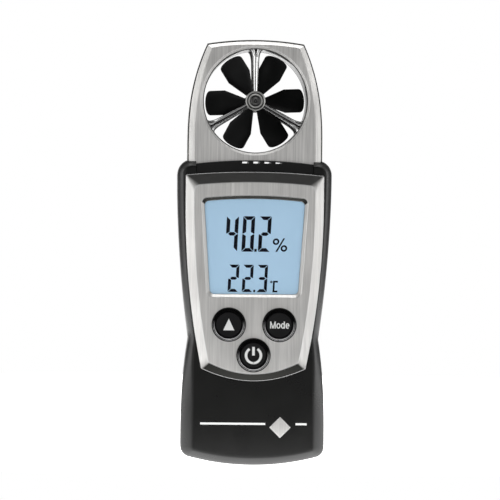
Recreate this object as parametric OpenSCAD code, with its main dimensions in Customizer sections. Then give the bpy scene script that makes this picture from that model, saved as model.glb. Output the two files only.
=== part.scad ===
// Handheld weather meter: a black housing with a silver front panel, a backlit display
// and three keys, and a fixed head in which a six-bladed vane wheel spins.
// Millimetres. X is across the face, Y runs from the face to the back, Z is up.
// The origin is at the middle of the curved foot, halfway between face and back.

/* [Housing] */
// Depth over the key rings and the back cover
body_d = 25; // [24.6:0.1:27]
// Half width across the shoulders
shoulder_hw = 23; // [22.9:0.1:24]
// Half width at the waist
waist_hw = 19.4; // [19.3:0.1:20]
// Half width at the foot
foot_hw = 21.4; // [21.2:0.1:22]
// Height of the waist crease
waist_z = 37.6; // [36:0.2:39]
// Wall thickness of the two shells
wall = 1.8; // [1.5:0.1:1.9]

/* [Head] */
// Height over the top of the head
overall_h = 126.6; // [126.2:0.1:127.6]
// Half width of the head at its widest
head_hw = 20.1; // [20:0.05:20.2]
// Depth of the head
head_d = 17; // [16.6:0.1:17]
// Height of the wheel's axis
vane_z = 108.4; // [108.2:0.1:108.6]
// Radius of the air duct
duct_r = 15.5; // [15.3:0.1:15.5]

/* [Vane wheel] */
// Radius over the blade tips
tip_r = 14.7; // [14:0.1:14.8]
// Number of blades
blades = 6; // [4:1:6]
// Angle of the blades to the plane of the wheel
pitch = 32; // [20:1:36]
// Half width of a blade seen from the front
blade_hw = 3.6; // [3:0.1:3.7]

/* [Display and keys] */
// Height of the top edge of the display window
window_top = 79.2; // [78.6:0.1:79.6]
// Height of the bottom edge of the display window
window_bottom = 51; // [50.6:0.1:52]
// Radius of a key cap
key_r = 3.95; // [3.6:0.05:4]
// Travel of a key
key_travel = 0.6; // [0.4:0.1:0.6]

/* [Battery bay] */
// Radius of a cell
cell_r = 5.25; // [5:0.05:5.25]
// Length of a cell without its button
cell_len = 43.7; // [43:0.1:44]

/* [Hidden] */
$fn = 64;
// Depth planes
back_y = body_d / 2;
ring_y = -body_d / 2;
panel_y = ring_y + 0.7;
face_y = ring_y + 1.5;
seat_y = face_y + 0.4;
inner_y = face_y + 1.6;
head_y = head_d / 2;
back_wall = 3.3;
board_y = -3.6;
board_t = 1.6;
mat_y = board_y - 0.1;
// Outline of the housing
shoulder_z = 86.4;
shoulder_r = 4.5;
lug_x = 17.5;
flare_z = 8;
foot_arc = 75;
foot_corner = 3.2;
neck_arc = 139;
neck_top = 90.6;
neck_low = 87.4;
head_play = 0.15;
bracket_lo = [17.45, -4, 79];
bracket_hi = [19.2, 4, 97];
// Outline of the head
crown_hw = 14.4;
crown_z = overall_h - 1.2;
crown_arc = 87;
head_swell_z = 96;
crown_arc_z = overall_h - crown_arc;
head_cut_z = 87.5;
// Outline of the silver panel
panel_hw = 20.6;
panel_taper = 5;
panel_taper_z = 80;
panel_end_z = 28.8;
panel_low = 25.1;
panel_high = 87.3;
panel_slope = 2.7;
// Display opening: half widths at top and bottom, and corner radius
window_hw = [14.8, 13.1];
window_r = 1.3;
window_bow = 0.7;
glass_gap = 0.12;
// Key places, as [x, z]
up_at = [-7.4, 41.9];
mode_at = [7.6, 41.9];
power_at = [0, 32.9];
KEYS = [up_at, mode_at, power_at];
bezel_r = 5.1;
bezel_in = 4.15;
flange_r = 4.7;
plunger_r = 1.2;
// Air slots beside the humidity sensor
slot_n = 4;
slot_pitch = 3.3;
slot_w = 1.95;
slot_h = 0.85;
slot_x = 2.1;
// Wheel, shaft and bearings
shaft_r = 0.5;
shaft_play = 0.05;
shaft_end = 6;
hub_r = 2.2;
hub_end = 3.6;
boss_r = 2.9;
bearing_r = 1.6;
bearing_in = 4.6;
spider_y = 7.4;
spider_wall = 0.25;
sleeve_wall = 0.4;
blade_t = 0.7;
blade_root = 0.75;
blade_full_r = 8.9;
// Battery bay
cell_pitch = 10.9;
cell_y = 5.6;
cell_z0 = 9;
bay_hw = 12.3;
bay_lo = 6.2;
bay_hi = 56.6;
cover_hw = 12.9;
cover_hi = 58;
cover_y = back_y - 1.5;
cover_play = 0.2;
cover_low = 3.2;
tray_t = 0.45;
// Fasteners, as [x, z]
CASE_SCREWS = [[13, 83], [-13, 83], [15.6, 12], [-15.6, 12]];
HEAD_SCREWS = [[15.2, 94.3], [-15.2, 94.3], [12.1, 122.3], [-12.1, 122.3]];
BOARD_SCREWS = [[-13.6, 47.2], [13.6, 47.2], [13.2, 24], [-13.2, 24]];
case_bore = 0.9;
case_post = 2.6;
case_head = 2.1;
case_head_y = 6;
head_bore = 0.6;
head_screw_head = 1.2;
// Two holes for a wrist cord, in the foot
cord_hole_r = 1.2;
cord_pad = [1.9, 4.2];
cord_y = 5;
CORD_X = [-12, -7];
steps = 8;
LCD = [31.4, 2, 29.6];
lcd_y = seat_y + 0.3;
lcd_z = window_bottom - 0.7;
wheel_turn = -2.2;
rim_cut = 1;

// ---- helpers ----

// Smooth step from 0 to 1
function ease(t) = let (u = min(max(t, 0), 1)) u * u * (3 - 2 * u);

// The right half of an outline, from its foot to its top, made whole
function mirrored(half) =
    concat(half, [for (i = [len(half) - 1:-1:0]) if (half[i][0] > 0.001) [-half[i][0], half[i][1]]]);

// Points on an arc round c
function arc(c, r, a0, a1, n, first = 0) =
    [for (i = [first:n]) let (a = a0 + (a1 - a0) * i / n) [c[0] + r * cos(a), c[1] + r * sin(a)]];

// A solid through outlines of equal length: each is [y, points], from front to back
module loft(rings) {
    n = len(rings[0][1]);
    last = len(rings) - 1;
    polyhedron(
        points = [for (r = rings) for (p = r[1]) [p[0], r[0], p[1]]],
        faces = concat(
            [[for (i = [n - 1:-1:0]) i]],
            [[for (i = [0:n - 1]) last * n + i]],
            [for (j = [0:last - 1]) for (i = [0:n - 1]) let (k = (i + 1) % n)
                [j * n + i, j * n + k, (j + 1) * n + k]],
            [for (j = [0:last - 1]) for (i = [0:n - 1]) let (k = (i + 1) % n)
                [j * n + i, (j + 1) * n + k, (j + 1) * n + i]]
        )
    );
}

// A cylinder along Y at [x, z], from y0 to y1
module rod(at, r, y0, y1, r2 = -1) {
    translate([at[0], y0, at[1]])
        rotate([-90, 0, 0])
            cylinder(r1 = r, r2 = r2 < 0 ? r : r2, h = y1 - y0);
}

// A box given by its two corners
module block(lo, hi) {
    translate(lo)
        cube(hi - lo);
}

// A flat outline in X and Z, from y0 to y1
module plate(points, y0, y1) {
    translate([0, y1, 0])
        rotate([90, 0, 0])
            linear_extrude(height = y1 - y0)
                polygon(points);
}

// Both sides of the middle plane
module pair() {
    children();
    mirror([1, 0, 0])
        children();
}

// ---- outlines ----

// Half width of the housing at height z
function flank(z) = z >= waist_z
    ? shoulder_hw - (shoulder_hw - waist_hw)
        * pow(max(shoulder_z - z, 0) / (shoulder_z - waist_z), 1.9)
    : foot_hw - (foot_hw - waist_hw) * pow(max(z - flare_z, 0) / (waist_z - flare_z), 2.4);

// Outline of the housing set in by d = [upper side, lower side, foot, shoulder]
function body_ring(d) = let (
    rc = max(foot_corner - d[2], 0.8),
    cx = foot_hw - d[1] - rc,
    cz = foot_arc - sqrt(pow(foot_arc - d[2] - rc, 2) - cx * cx),
    a0 = atan2(cz - foot_arc, cx),
    rs = max(shoulder_r - d[3], 0.8)
) mirrored(concat(
    arc([0, foot_arc], foot_arc - d[2], -90, a0, 5),
    arc([cx, cz], rc, a0, 0, 5, 1),
    [for (i = [1:6]) let (z = cz + (waist_z - cz) * i / 6)
        [flank(z) - d[1] - (d[0] - d[1]) * ease((z - 16) / 22), z]],
    [for (i = [1:steps]) let (z = waist_z + (shoulder_z - waist_z) * i / steps)
        [flank(z) - d[1] - (d[0] - d[1]) * ease((z - 16) / 22), z]],
    arc([shoulder_hw - d[0] - rs, shoulder_z + shoulder_r - d[3] - rs], rs, 0, 90, 5)
));

// Half width of the head at height z
function head_flank(z) =
    head_hw - (head_hw - crown_hw)
        * pow(max(z - head_swell_z, 0) / (crown_z - head_swell_z), 2.35);

// Outline of the head set in by side and top
function head_ring(side, top) = let (
    z1 = crown_z - top,
    x1 = head_flank(z1) - side
) mirrored(concat(
    [[head_hw - side, head_cut_z]],
    [for (i = [0:12]) let (z = head_swell_z + (z1 - head_swell_z) * i / 12)
        [head_flank(z) - side, z]],
    [for (i = [1:6]) let (x = x1 * (1 - i / 6))
        [x, crown_arc_z + sqrt(pow(crown_arc - top, 2) - x * x)]]
));

// Half width of the silver panel at height z
function panel_flank(z) = panel_hw
    - panel_taper * pow(max(panel_taper_z - z, 0) / (panel_taper_z - panel_end_z), 2.1);

// Outline of the panel set in by side, and by rise at its top and bottom
function panel_ring(side, rise) = let (
    drop = rise * 0.65,
    z0 = panel_end_z + drop * 0.85,
    x0 = panel_flank(z0) - side,
    z1 = panel_high - 1 - rise,
    x1 = panel_flank(z1) - side
) mirrored(concat(
    [for (i = [0:6]) let (x = x0 * i / 6)
        [x, z0 - (z0 - panel_low - drop) * (1 - pow(x / x0, 2))]],
    [for (i = [1:12]) let (z = z0 + (z1 - z0) * i / 12) [panel_flank(z) - side, z]],
    [for (i = [1:6]) let (x = x1 * (1 - i / 6))
        [x, z1 + (panel_high - rise - z1) * (1 - pow(x / x1, 2))]]
));

// Outline of the display opening grown by g
function window_ring(g) = let (
    top = [window_hw[0] + g, window_top - window_bow + g],
    low = [window_hw[1] + g, window_bottom - g],
    r = window_r + g / 2
) mirrored(concat(
    arc([low[0] - r, low[1] + r], r, -90, 0, 4),
    arc([top[0] - r, top[1] - r], r, 0, 84, 4),
    [[(top[0] - r) / 2, window_top + g - window_bow * 0.25], [0, window_top + g]]
));

// ---- housing ----

// Outside of the front half
module front_outside() {
    loft([
        [face_y, body_ring([2.3, 3.6, 2, 2.2])],
        [face_y + 3.1, body_ring([0.35, 0.45, 0.35, 0.35])],
        [face_y + 3.8, body_ring([0, 0, 0, 0])],
        [0, body_ring([0, 0, 0, 0])]
    ]);
}

// Outside of the rear half, rounded towards the back
module rear_outside() {
    turn = 6;
    loft(concat(
        [[0, body_ring([0, 0, 0, 0])]],
        [for (k = [0:5]) let (a = k * 18, d = 4.8 * (1 - cos(a)))
            [back_y - turn * (1 - sin(a)), body_ring([d, d, d, min(d, 3.6)])]]
    ));
}

// Room for the head between the lugs, and for the collar below it
module neck_room() {
    block([-head_hw - head_play, -head_y - head_play, 86.6],
          [head_hw + head_play, head_y + head_play, shoulder_z + 10]);
    plate(concat(
        [for (i = [-8:8]) let (x = lug_x * i / 8) [x, neck_low - x * x / (2 * neck_arc)]],
        [[lug_x, shoulder_z + 10], [-lug_x, shoulder_z + 10]]
    ), ring_y - 1, back_y + 1);
}

module front_shell() {
    color([0.13, 0.13, 0.14])
        difference() {
            union() {
                difference() {
                    front_outside();
                    loft([
                        [inner_y, body_ring([3.4, 4.6, 3.4, 3.4])],
                        [face_y + 4.2, body_ring([wall, wall, wall, wall])],
                        [1, body_ring([wall, wall, wall, wall])]
                    ]);
                }
                for (s = CASE_SCREWS)
                    rod(s, case_post, inner_y - 0.2, 1.9);
                for (s = BOARD_SCREWS)
                    rod(s, 1.9, inner_y - 0.2, board_y);
            }
            neck_room();
            loft([[face_y - 1, panel_ring(0, 0)], [seat_y, panel_ring(0, 0)]]);
            block([-LCD[0] / 2 - 0.2, ring_y, lcd_z - 0.2],
                  [LCD[0] / 2 + 0.2, inner_y + 1, lcd_z + LCD[2] + 0.2]);
            for (k = KEYS)
                rod(k, key_r + 0.15, ring_y, inner_y + 1);
            for (s = CASE_SCREWS)
                rod(s, case_bore, inner_y + 2, 3);
            for (s = BOARD_SCREWS)
                rod(s, 0.6, inner_y + 1, 0);
            mark_room(0);
        }
}

module rear_shell() {
    color([0.12, 0.12, 0.13])
        difference() {
            union() {
                difference() {
                    rear_outside();
                    loft([
                        [-1, body_ring([wall, wall, wall, wall])],
                        [back_y - 6.5, body_ring([wall, wall, wall, wall])],
                        [back_y - back_wall, body_ring([3.6, 3.6, 3.6, 3.6])]
                    ]);
                }
                for (s = CASE_SCREWS)
                    rod(s, case_post + 0.5, 2, back_y - 0.6);
                block([CORD_X[0] - 3, cord_y - 3.5, cord_pad[0]],
                      [CORD_X[1] + 3, cord_y + 3.5, cord_pad[1]]);
            }
            neck_room();
            for (s = CASE_SCREWS) {
                rod(s, case_bore + 0.2, 1, back_y);
                rod(s, case_head + 0.15, case_head_y, back_y + 1);
            }
            block([-bay_hw, -1, bay_lo], [bay_hw, back_y + 1, bay_hi]);
            block([-cover_hw - cover_play, cover_y - 0.1, -1],
                  [cover_hw + cover_play, back_y + 1, cover_hi + cover_play]);
            for (x = CORD_X)
                translate([x, cord_y, -1]) {
                    cylinder(r = cord_hole_r, h = cord_pad[1] + 2);
                    cylinder(r = cord_hole_r + 1, h = cord_pad[0] + 1);
                }
        }
}

// Silver plate round the display and the keys, with sloping edges
module front_panel() {
    color([0.72, 0.72, 0.7])
        difference() {
            loft([
                [panel_y, panel_ring(panel_slope, panel_slope)],
                [face_y - 0.05, panel_ring(0.06, 0.06)],
                [seat_y, panel_ring(0.06, 0.06)]
            ]);
            loft([
                [panel_y - 0.5, window_ring(1.8)],
                [panel_y + 0.8, window_ring(0)],
                [seat_y + 1, window_ring(0)]
            ]);
            for (k = KEYS)
                rod(k, bezel_r - 0.4, ring_y, seat_y + 1);
        }
}

// Black bar between housing and head, with the air slots of the humidity sensor
module neck_collar() {
    color([0.1, 0.1, 0.1])
        difference() {
            plate(concat(
                [for (i = [-8:8]) let (x = (lug_x - 0.1) * i / 8)
                    [x, neck_low + 0.05 - x * x / (2 * neck_arc)]],
                [for (i = [8:-1:-8]) let (x = (lug_x - 0.1) * i / 8)
                    [x, neck_top - x * x / (2 * neck_arc)]]
            ), face_y + 0.6, back_y - 1.2);
            for (i = [0:slot_n - 1])
                let (x = slot_x + (i - (slot_n - 1) / 2) * slot_pitch)
                    block([x - slot_w / 2, ring_y, neck_top - slot_h],
                          [x + slot_w / 2, back_y, neck_top + 1]);
            block([slot_x - 6.9, -4, neck_low - 3], [slot_x + 6.9, 4, neck_top - slot_h - 0.4]);
            ribbon_room();
        }
}

// Outline of the small mark on the lower face, grown by g
module mark_room(g) {
    translate([8.1, 0, 11.5])
        rotate([0, 45, 0])
            block([-2.3 - g, face_y - 1, -2.3 - g], [2.3 + g, face_y + 0.5, 2.3 + g]);
}

// Small inlaid lozenge on the lower face
module mark_plate() {
    color([0.75, 0.75, 0.75])
        intersection() {
            mark_room(-0.05);
            block([0, face_y - 0.05, 0], [20, face_y + 0.5, 30]);
        }
}

// ---- display ----

module display_window() {
    color([0.75, 0.85, 0.95, 0.4])
        plate(window_ring(-glass_gap), panel_y + 0.55, seat_y);
}

module display_gasket() {
    color([0.2, 0.2, 0.2])
        difference() {
            block([-LCD[0] / 2 - 0.1, seat_y, lcd_z - 0.1],
                  [LCD[0] / 2 + 0.1, lcd_y, lcd_z + LCD[2] + 0.1]);
            plate(window_ring(0.25), seat_y - 1, lcd_y + 1);
        }
}

module lcd_glass() {
    color([0.62, 0.75, 0.88])
        block([-LCD[0] / 2, lcd_y, lcd_z], [LCD[0] / 2, lcd_y + LCD[1], lcd_z + LCD[2]]);
}

module backlight_guide() {
    y0 = lcd_y + LCD[1];
    color([0.92, 0.92, 0.9])
        union() {
            block([-14, y0, window_bottom + 3.4], [14, y0 + 1.6, window_bottom + 24.6]);
            for (x = [-11, 11])
                block([x - 1, y0 + 1.6, window_bottom + 5], [x + 1, board_y, window_bottom + 8]);
        }
}

module zebra_strips() {
    y0 = lcd_y + LCD[1];
    color([0.45, 0.3, 0.3])
        for (z = [window_bottom + 0.4, window_bottom + 25.4])
            block([-13, y0, z], [13, board_y, z + 2.2]);
}

// ---- keys ----

// Black ring round a key, with a rounded lip
module key_ring(at) {
    color([0.08, 0.08, 0.08])
        translate([at[0], seat_y, at[1]])
            rotate([90, 0, 0])
                rotate_extrude()
                    polygon([
                        [bezel_in + 0.05, 0.05], [bezel_r - 0.45, 0.05], [bezel_r - 0.45, 1.23],
                        [bezel_r, 1.23], [bezel_r, 1.5], [bezel_r - 0.2, 1.78],
                        [bezel_r - 0.45, 1.9], [bezel_r - 0.7, 1.78], [bezel_in + 0.05, 1.1]
                    ]);
}

// Key: a dished cap, a flange that keeps it in, and a plunger
module key(at) {
    cap_y = panel_y + 0.05;
    color([0.1, 0.1, 0.11])
        difference() {
            union() {
                rod(at, key_r - 0.25, cap_y - 0.25, cap_y, key_r);
                rod(at, key_r, cap_y, inner_y + 0.2);
                rod(at, flange_r, inner_y + 0.2, inner_y + 0.9);
                rod(at, plunger_r, inner_y + 0.9, mat_y - 0.5 - key_travel - 0.6);
            }
            translate([at[0], cap_y - 20.1, at[1]])
                sphere(r = 20, $fn = 96);
        }
}

// Rubber mat with a dome under each key
module keypad_mat() {
    color([0.55, 0.55, 0.58])
        union() {
            block([-12, mat_y - 0.4, 28], [12, mat_y, 45.2]);
            for (k = KEYS)
                rod(k, 1.5, mat_y - 0.9, mat_y, 2.6);
        }
}

// ---- electronics ----

module circuit_board() {
    color([0.1, 0.35, 0.2])
        difference() {
            block([-16.6, board_y, 20], [16.6, board_y + board_t, 81]);
            for (s = CASE_SCREWS)
                rod(s, case_post + 0.3, -9, 5);
            for (s = BOARD_SCREWS)
                rod(s, 0.9, -9, 5);
            for (x = [-16.6, 16.6])
                translate([x + sign(x) * 1.4, 0, 37])
                    rotate([90, 0, 0])
                        cylinder(r = 3, h = 20, center = true);
        }
}

module microcontroller() {
    y0 = board_y + board_t;
    color([0.15, 0.15, 0.16])
        block([-4.5, y0, 62], [4.5, y0 + 1.2, 71]);
}

// Smaller parts on the back of the board
module board_parts() {
    y0 = board_y + board_t;
    color([0.35, 0.32, 0.28]) {
        for (x = [-10, -7.6, 7.6, 10])
            block([x - 0.6, y0, 66], [x + 0.6, y0 + 0.8, 68]);
        block([-12.5, y0, 58.6], [-8.5, y0 + 1.1, 62.6]);
        block([7.5, y0, 59], [11.5, y0 + 1.4, 61]);
        rod([0, 76.5], 2.4, y0, y0 + 2.2);
    }
}

module board_screws() {
    color([0.7, 0.7, 0.72])
        for (s = BOARD_SCREWS) {
            rod(s, 0.6, inner_y + 2, board_y + board_t);
            rod(s, 1.4, board_y + board_t, board_y + board_t + 0.8);
        }
}

// ---- head ----

// What both halves of the head leave open
module head_room() {
    rod([0, vane_z], duct_r + sleeve_wall, -head_d, head_d);
    translate([duct_r + 0.6, 0, vane_z])
        rotate([0, 90, 0])
            cylinder(r = 1.5, h = 2.7);
    ribbon_room();
    pair()
        block(bracket_lo - [0.05, 0.05, 0], bracket_hi + [0.05, 0.05, 0.05]);
    plate(concat(
        [for (i = [-8:8]) let (x = (head_hw + 1) * i / 8)
            [x, neck_top + 0.05 - x * x / (2 * neck_arc)]],
        [[head_hw + 1, 80], [-head_hw - 1, 80]]
    ), -head_d, head_d);
}

// Channel for the flat cable
module ribbon_room() {
    block([16.4, -1.8, 80], [17, 1.8, vane_z]);
}

// Bars that plug the head into the housing, one at each side
module head_brackets() {
    color([0.3, 0.3, 0.32])
        pair()
            block(bracket_lo, bracket_hi);
}

module head_front() {
    color([0.74, 0.74, 0.72])
        difference() {
            loft([
                [-head_y, head_ring(2.1, 1.3)],
                [-head_y + 1.6, head_ring(0.2, 0.15)],
                [-head_y + 2, head_ring(0, 0)],
                [0, head_ring(0, 0)]
            ]);
            head_room();
            rod([0, vane_z], duct_r + rim_cut, -head_y - 0.01, -head_y + 0.6, duct_r + sleeve_wall);
            for (s = HEAD_SCREWS)
                rod(s, head_bore, -5, 1);
        }
}

module head_rear() {
    color([0.7, 0.7, 0.68])
        difference() {
            loft([
                [0, head_ring(0, 0)],
                [head_y - 2, head_ring(0, 0)],
                [head_y - 1.6, head_ring(0.2, 0.15)],
                [head_y, head_ring(2.1, 1.3)]
            ]);
            head_room();
            rod([0, vane_z], duct_r + sleeve_wall, head_y - 0.6, head_y + 0.01, duct_r + rim_cut);
            for (s = HEAD_SCREWS) {
                rod(s, head_bore + 0.1, -1, head_y);
                rod(s, head_screw_head + 0.1, head_y - 3, head_y + 1);
            }
        }
}

// Thin tube that lines the duct
module duct_sleeve() {
    color([0.6, 0.6, 0.6])
        difference() {
            rod([0, vane_z], duct_r + sleeve_wall, -head_y + 0.6, head_y - 0.6);
            rod([0, vane_z], duct_r, -head_y, head_y);
        }
}

// One spoke, upwards from the hub: a strip with a rib behind it and a flared foot
module spoke() {
    out = duct_r - spider_wall;
    plate([
        [-0.6, boss_r - 0.3], [0.6, boss_r - 0.3], [1, out - 2.6], [1.4, out - 1],
        [2.4, out + 0.05], [-2.4, out + 0.05], [-1.4, out - 1], [-1, out - 2.6]
    ], -spider_y - 0.1, -spider_y + 0.8);
    block([-0.35, -spider_y + 0.8, boss_r - 0.3], [0.35, -spider_y + 2, out + 0.2]);
}

// Three spokes, a rim and a hub that holds a bearing; it is drawn for the front
module spider() {
    difference() {
        union() {
            difference() {
                rod([0, 0], duct_r, -spider_y, -spider_y + 2.2);
                rod([0, 0], duct_r - spider_wall, -spider_y - 1, 0);
            }
            for (a = [0, 120, 240])
                rotate([0, a, 0])
                    spoke();
            rod([0, 0], boss_r, -spider_y - 0.2, -bearing_in);
        }
        rod([0, 0], bearing_r, -shaft_end - 0.3, 0);
    }
}

module front_spider() {
    color([0.75, 0.75, 0.74])
        translate([0, 0, vane_z])
            spider();
}

module rear_spider() {
    color([0.7, 0.7, 0.7])
        translate([0, 0, vane_z])
            mirror([0, 1, 0])
                spider();
}

// Turned cap with two raised rings, over the end of the hub
module hub_cap() {
    translate([0, -spider_y - 0.2, 0])
        rotate([90, 0, 0])
            rotate_extrude()
                polygon([
                    [0, 0], [boss_r + 0.1, 0], [boss_r + 0.1, 0.4], [boss_r - 0.25, 0.7],
                    [2.1, 0.7], [1.9, 0.45], [1.55, 0.45], [1.4, 0.75], [1, 0.75],
                    [0.85, 0.4], [0.5, 0.4], [0.4, 0.6], [0, 0.6]
                ]);
}

module front_hub_cap() {
    color([0.78, 0.78, 0.76])
        translate([0, 0, vane_z])
            hub_cap();
}

module rear_hub_cap() {
    color([0.78, 0.78, 0.76])
        translate([0, 0, vane_z])
            mirror([0, 1, 0])
                hub_cap();
}

// Bearing bush with a running fit on the shaft
module bearing() {
    difference() {
        rod([0, 0], bearing_r, -shaft_end - 0.3, -bearing_in);
        rod([0, 0], shaft_r + shaft_play, -shaft_end - 0.1, 0);
    }
}

module front_bearing() {
    color([0.75, 0.2, 0.25])
        translate([0, 0, vane_z])
            bearing();
}

module rear_bearing() {
    color([0.75, 0.2, 0.25])
        translate([0, 0, vane_z])
            mirror([0, 1, 0])
                bearing();
}

module vane_shaft() {
    color([0.8, 0.8, 0.82])
        rod([0, vane_z], shaft_r, -shaft_end, shaft_end);
}

// One blade, outwards along X, turned about its own length
module blade() {
    w = (blade_hw - blade_t / 2 * sin(pitch)) / cos(pitch);
    rotate([-90 + pitch, 0, 0])
        translate([0, 0, -blade_t / 2])
            linear_extrude(height = blade_t)
                polygon([
                    [hub_r - 0.5, -blade_root], [blade_full_r, -w], [tip_r - 1.3, -w],
                    [tip_r - 0.45, -w + 0.9], [tip_r, 0], [tip_r - 0.45, w - 0.9],
                    [tip_r - 1.3, w], [blade_full_r, w], [hub_r - 0.5, blade_root]
                ]);
}

module vane_wheel() {
    color([0.06, 0.06, 0.07])
        translate([0, 0, vane_z])
            difference() {
                union() {
                    rod([0, 0], hub_r, -hub_end, hub_end);
                    for (i = [0:blades - 1])
                        rotate([0, wheel_turn + i * 360 / blades, 0])
                            blade();
                }
                rod([0, 0], shaft_r, -hub_end - 1, hub_end + 1);
            }
}

// Coil in the duct wall that counts the passing blades
module rotation_pickup() {
    color([0.65, 0.4, 0.2])
        translate([duct_r + 0.7, 0, vane_z])
            rotate([0, 90, 0])
                cylinder(r = 1.3, h = 1.6);
}

// Flat cable from the coil to the board
module head_ribbon() {
    color([0.8, 0.55, 0.2])
        union() {
            block([16.6, -1.5, 76], [16.8, 1.5, vane_z - 1.4]);
            block([13, -1.5, 76], [16.8, 1.5, 76.2]);
        }
}

module ribbon_socket() {
    y0 = board_y + board_t;
    color([0.85, 0.82, 0.75])
        block([11.4, y0, 76.2], [15.4, y0 + 1.6, 78.4]);
}

// ---- climate sensors, under the air slots ----

module sensor_board() {
    color([0.1, 0.35, 0.2])
        block([slot_x - 5.8, -0.4, 81.4], [slot_x + 5.8, 0.4, neck_top - slot_h - 1]);
}

module humidity_sensor() {
    color([0.9, 0.9, 0.88])
        block([slot_x - 4, -1.4, 85.4], [slot_x - 1, -0.4, 88.4]);
}

module temperature_sensor() {
    color([0.2, 0.2, 0.22])
        translate([slot_x + 3, -1.1, 87.4])
            sphere(r = 0.7);
}

// ---- power ----

module battery_tray() {
    color([0.1, 0.1, 0.1])
        difference() {
            block([-bay_hw + 0.05, -0.4, bay_lo + 0.05], [bay_hw - 0.05, 9, bay_hi - 0.05]);
            block([-bay_hw + 0.05 + tray_t, -0.4 + tray_t, bay_lo + 0.65],
                  [bay_hw - 0.05 - tray_t, 20, bay_hi - 0.65]);
        }
}

// Cover over the cells: it slides down to open
module battery_cover() {
    color([0.12, 0.12, 0.13])
        difference() {
            intersection() {
                rear_outside();
                block([-cover_hw, cover_y, cover_low], [cover_hw, back_y + 1, cover_hi]);
            }
            for (i = [0:4])
                block([-7, back_y - 0.4, 46 + 1.8 * i], [7, back_y + 1, 46.8 + 1.8 * i]);
        }
}

// One cell along Z, with its button end at the top or turned over
module cell(x, up) {
    color([0.2, 0.35, 0.3])
        translate([x, cell_y, cell_z0 + cell_len / 2])
            mirror([0, 0, up ? 0 : 1])
                union() {
                    cylinder(r = cell_r, h = cell_len, center = true);
                    translate([0, 0, cell_len / 2])
                        cylinder(r = 1.8, h = 0.8);
                }
}

module battery_left() {
    cell(-cell_pitch / 2, true);
}

module battery_right() {
    cell(cell_pitch / 2, false);
}

// Springs at the minus end of each cell, as nested rings
module battery_springs() {
    lo = bay_lo + 0.65;
    hi = bay_hi - 0.65;
    color([0.8, 0.8, 0.8]) {
        for (i = [0:2])
            translate([-cell_pitch / 2, cell_y, lo + 0.35 + 0.7 * i])
                rotate_extrude()
                    translate([3.2 - 0.5 * i, 0])
                        circle(r = 0.34, $fn = 16);
        for (i = [0:3])
            translate([cell_pitch / 2, cell_y, hi - 0.35 - 0.7 * i])
                rotate_extrude()
                    translate([3.2 - 0.5 * i, 0])
                        circle(r = 0.34, $fn = 16);
    }
}

// Flat contacts at the button end of each cell
module battery_contacts() {
    lo = bay_lo + 0.65;
    hi = bay_hi - 0.65;
    color([0.8, 0.75, 0.5]) {
        block([-cell_pitch / 2 - 3, cell_y - 4, cell_z0 + cell_len + 0.85],
              [-cell_pitch / 2 + 3, cell_y + 3, hi]);
        block([cell_pitch / 2 - 3, cell_y - 4, lo], [cell_pitch / 2 + 3, cell_y + 3, cell_z0 - 0.85]);
    }
}

// ---- fasteners ----

module case_screws() {
    color([0.2, 0.2, 0.2])
        for (s = CASE_SCREWS)
            difference() {
                union() {
                    rod(s, case_bore, inner_y + 3, case_head_y);
                    rod(s, case_head, case_head_y, case_head_y + 1.6);
                }
                for (a = [0, 90])
                    translate([s[0], case_head_y + 1.3, s[1]])
                        rotate([0, a, 0])
                            cube([2.4, 0.9, 0.5], center = true);
            }
}

module head_screws() {
    color([0.3, 0.3, 0.3])
        for (s = HEAD_SCREWS)
            difference() {
                union() {
                    rod(s, head_bore, -4.5, head_y - 3);
                    rod(s, head_screw_head, head_y - 3, head_y - 2);
                }
                for (a = [0, 90])
                    translate([s[0], head_y - 2.1, s[1]])
                        rotate([0, a, 0])
                            cube([1.4, 0.5, 0.3], center = true);
            }
}

front_shell();
rear_shell();
front_panel();
neck_collar();
mark_plate();
display_window();
display_gasket();
lcd_glass();
backlight_guide();
zebra_strips();
key_ring(up_at);  // key_ring_up
key_ring(mode_at);  // key_ring_mode
key_ring(power_at);  // key_ring_power
key(up_at);  // key_up
key(mode_at);  // key_mode
key(power_at);  // key_power
keypad_mat();
circuit_board();
microcontroller();
board_parts();
board_screws();
head_front();
head_rear();
head_brackets();
duct_sleeve();
front_spider();
rear_spider();
front_hub_cap();
rear_hub_cap();
front_bearing();
rear_bearing();
vane_shaft();
vane_wheel();
rotation_pickup();
head_ribbon();
ribbon_socket();
sensor_board();
humidity_sensor();
temperature_sensor();
battery_tray();
battery_cover();
battery_left();
battery_right();
battery_springs();
battery_contacts();
case_screws();
head_screws();
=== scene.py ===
"""Looks of a handheld weather meter: finishes, prints, display and detailed pieces round its fixed frame."""
import logging
import math
from dataclasses import dataclass, field
from enum import Enum
from typing import ClassVar, Iterable, Sequence

import bmesh
import bpy
from mathutils import Matrix, Vector


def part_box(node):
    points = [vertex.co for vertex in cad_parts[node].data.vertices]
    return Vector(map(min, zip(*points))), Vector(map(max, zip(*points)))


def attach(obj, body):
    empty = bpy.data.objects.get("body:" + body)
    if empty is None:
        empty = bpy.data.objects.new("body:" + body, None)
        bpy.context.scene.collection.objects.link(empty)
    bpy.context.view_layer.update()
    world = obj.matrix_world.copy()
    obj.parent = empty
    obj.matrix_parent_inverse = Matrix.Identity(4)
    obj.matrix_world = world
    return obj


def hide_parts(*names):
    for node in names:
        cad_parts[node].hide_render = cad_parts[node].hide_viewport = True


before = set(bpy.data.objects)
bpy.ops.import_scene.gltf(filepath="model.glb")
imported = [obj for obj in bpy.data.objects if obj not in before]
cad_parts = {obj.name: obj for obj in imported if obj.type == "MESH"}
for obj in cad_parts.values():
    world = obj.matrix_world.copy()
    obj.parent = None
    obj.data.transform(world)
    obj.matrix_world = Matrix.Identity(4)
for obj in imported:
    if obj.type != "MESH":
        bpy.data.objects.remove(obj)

logging.basicConfig(level=logging.INFO, format="%(message)s")
log = logging.getLogger("weather_meter")

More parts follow.
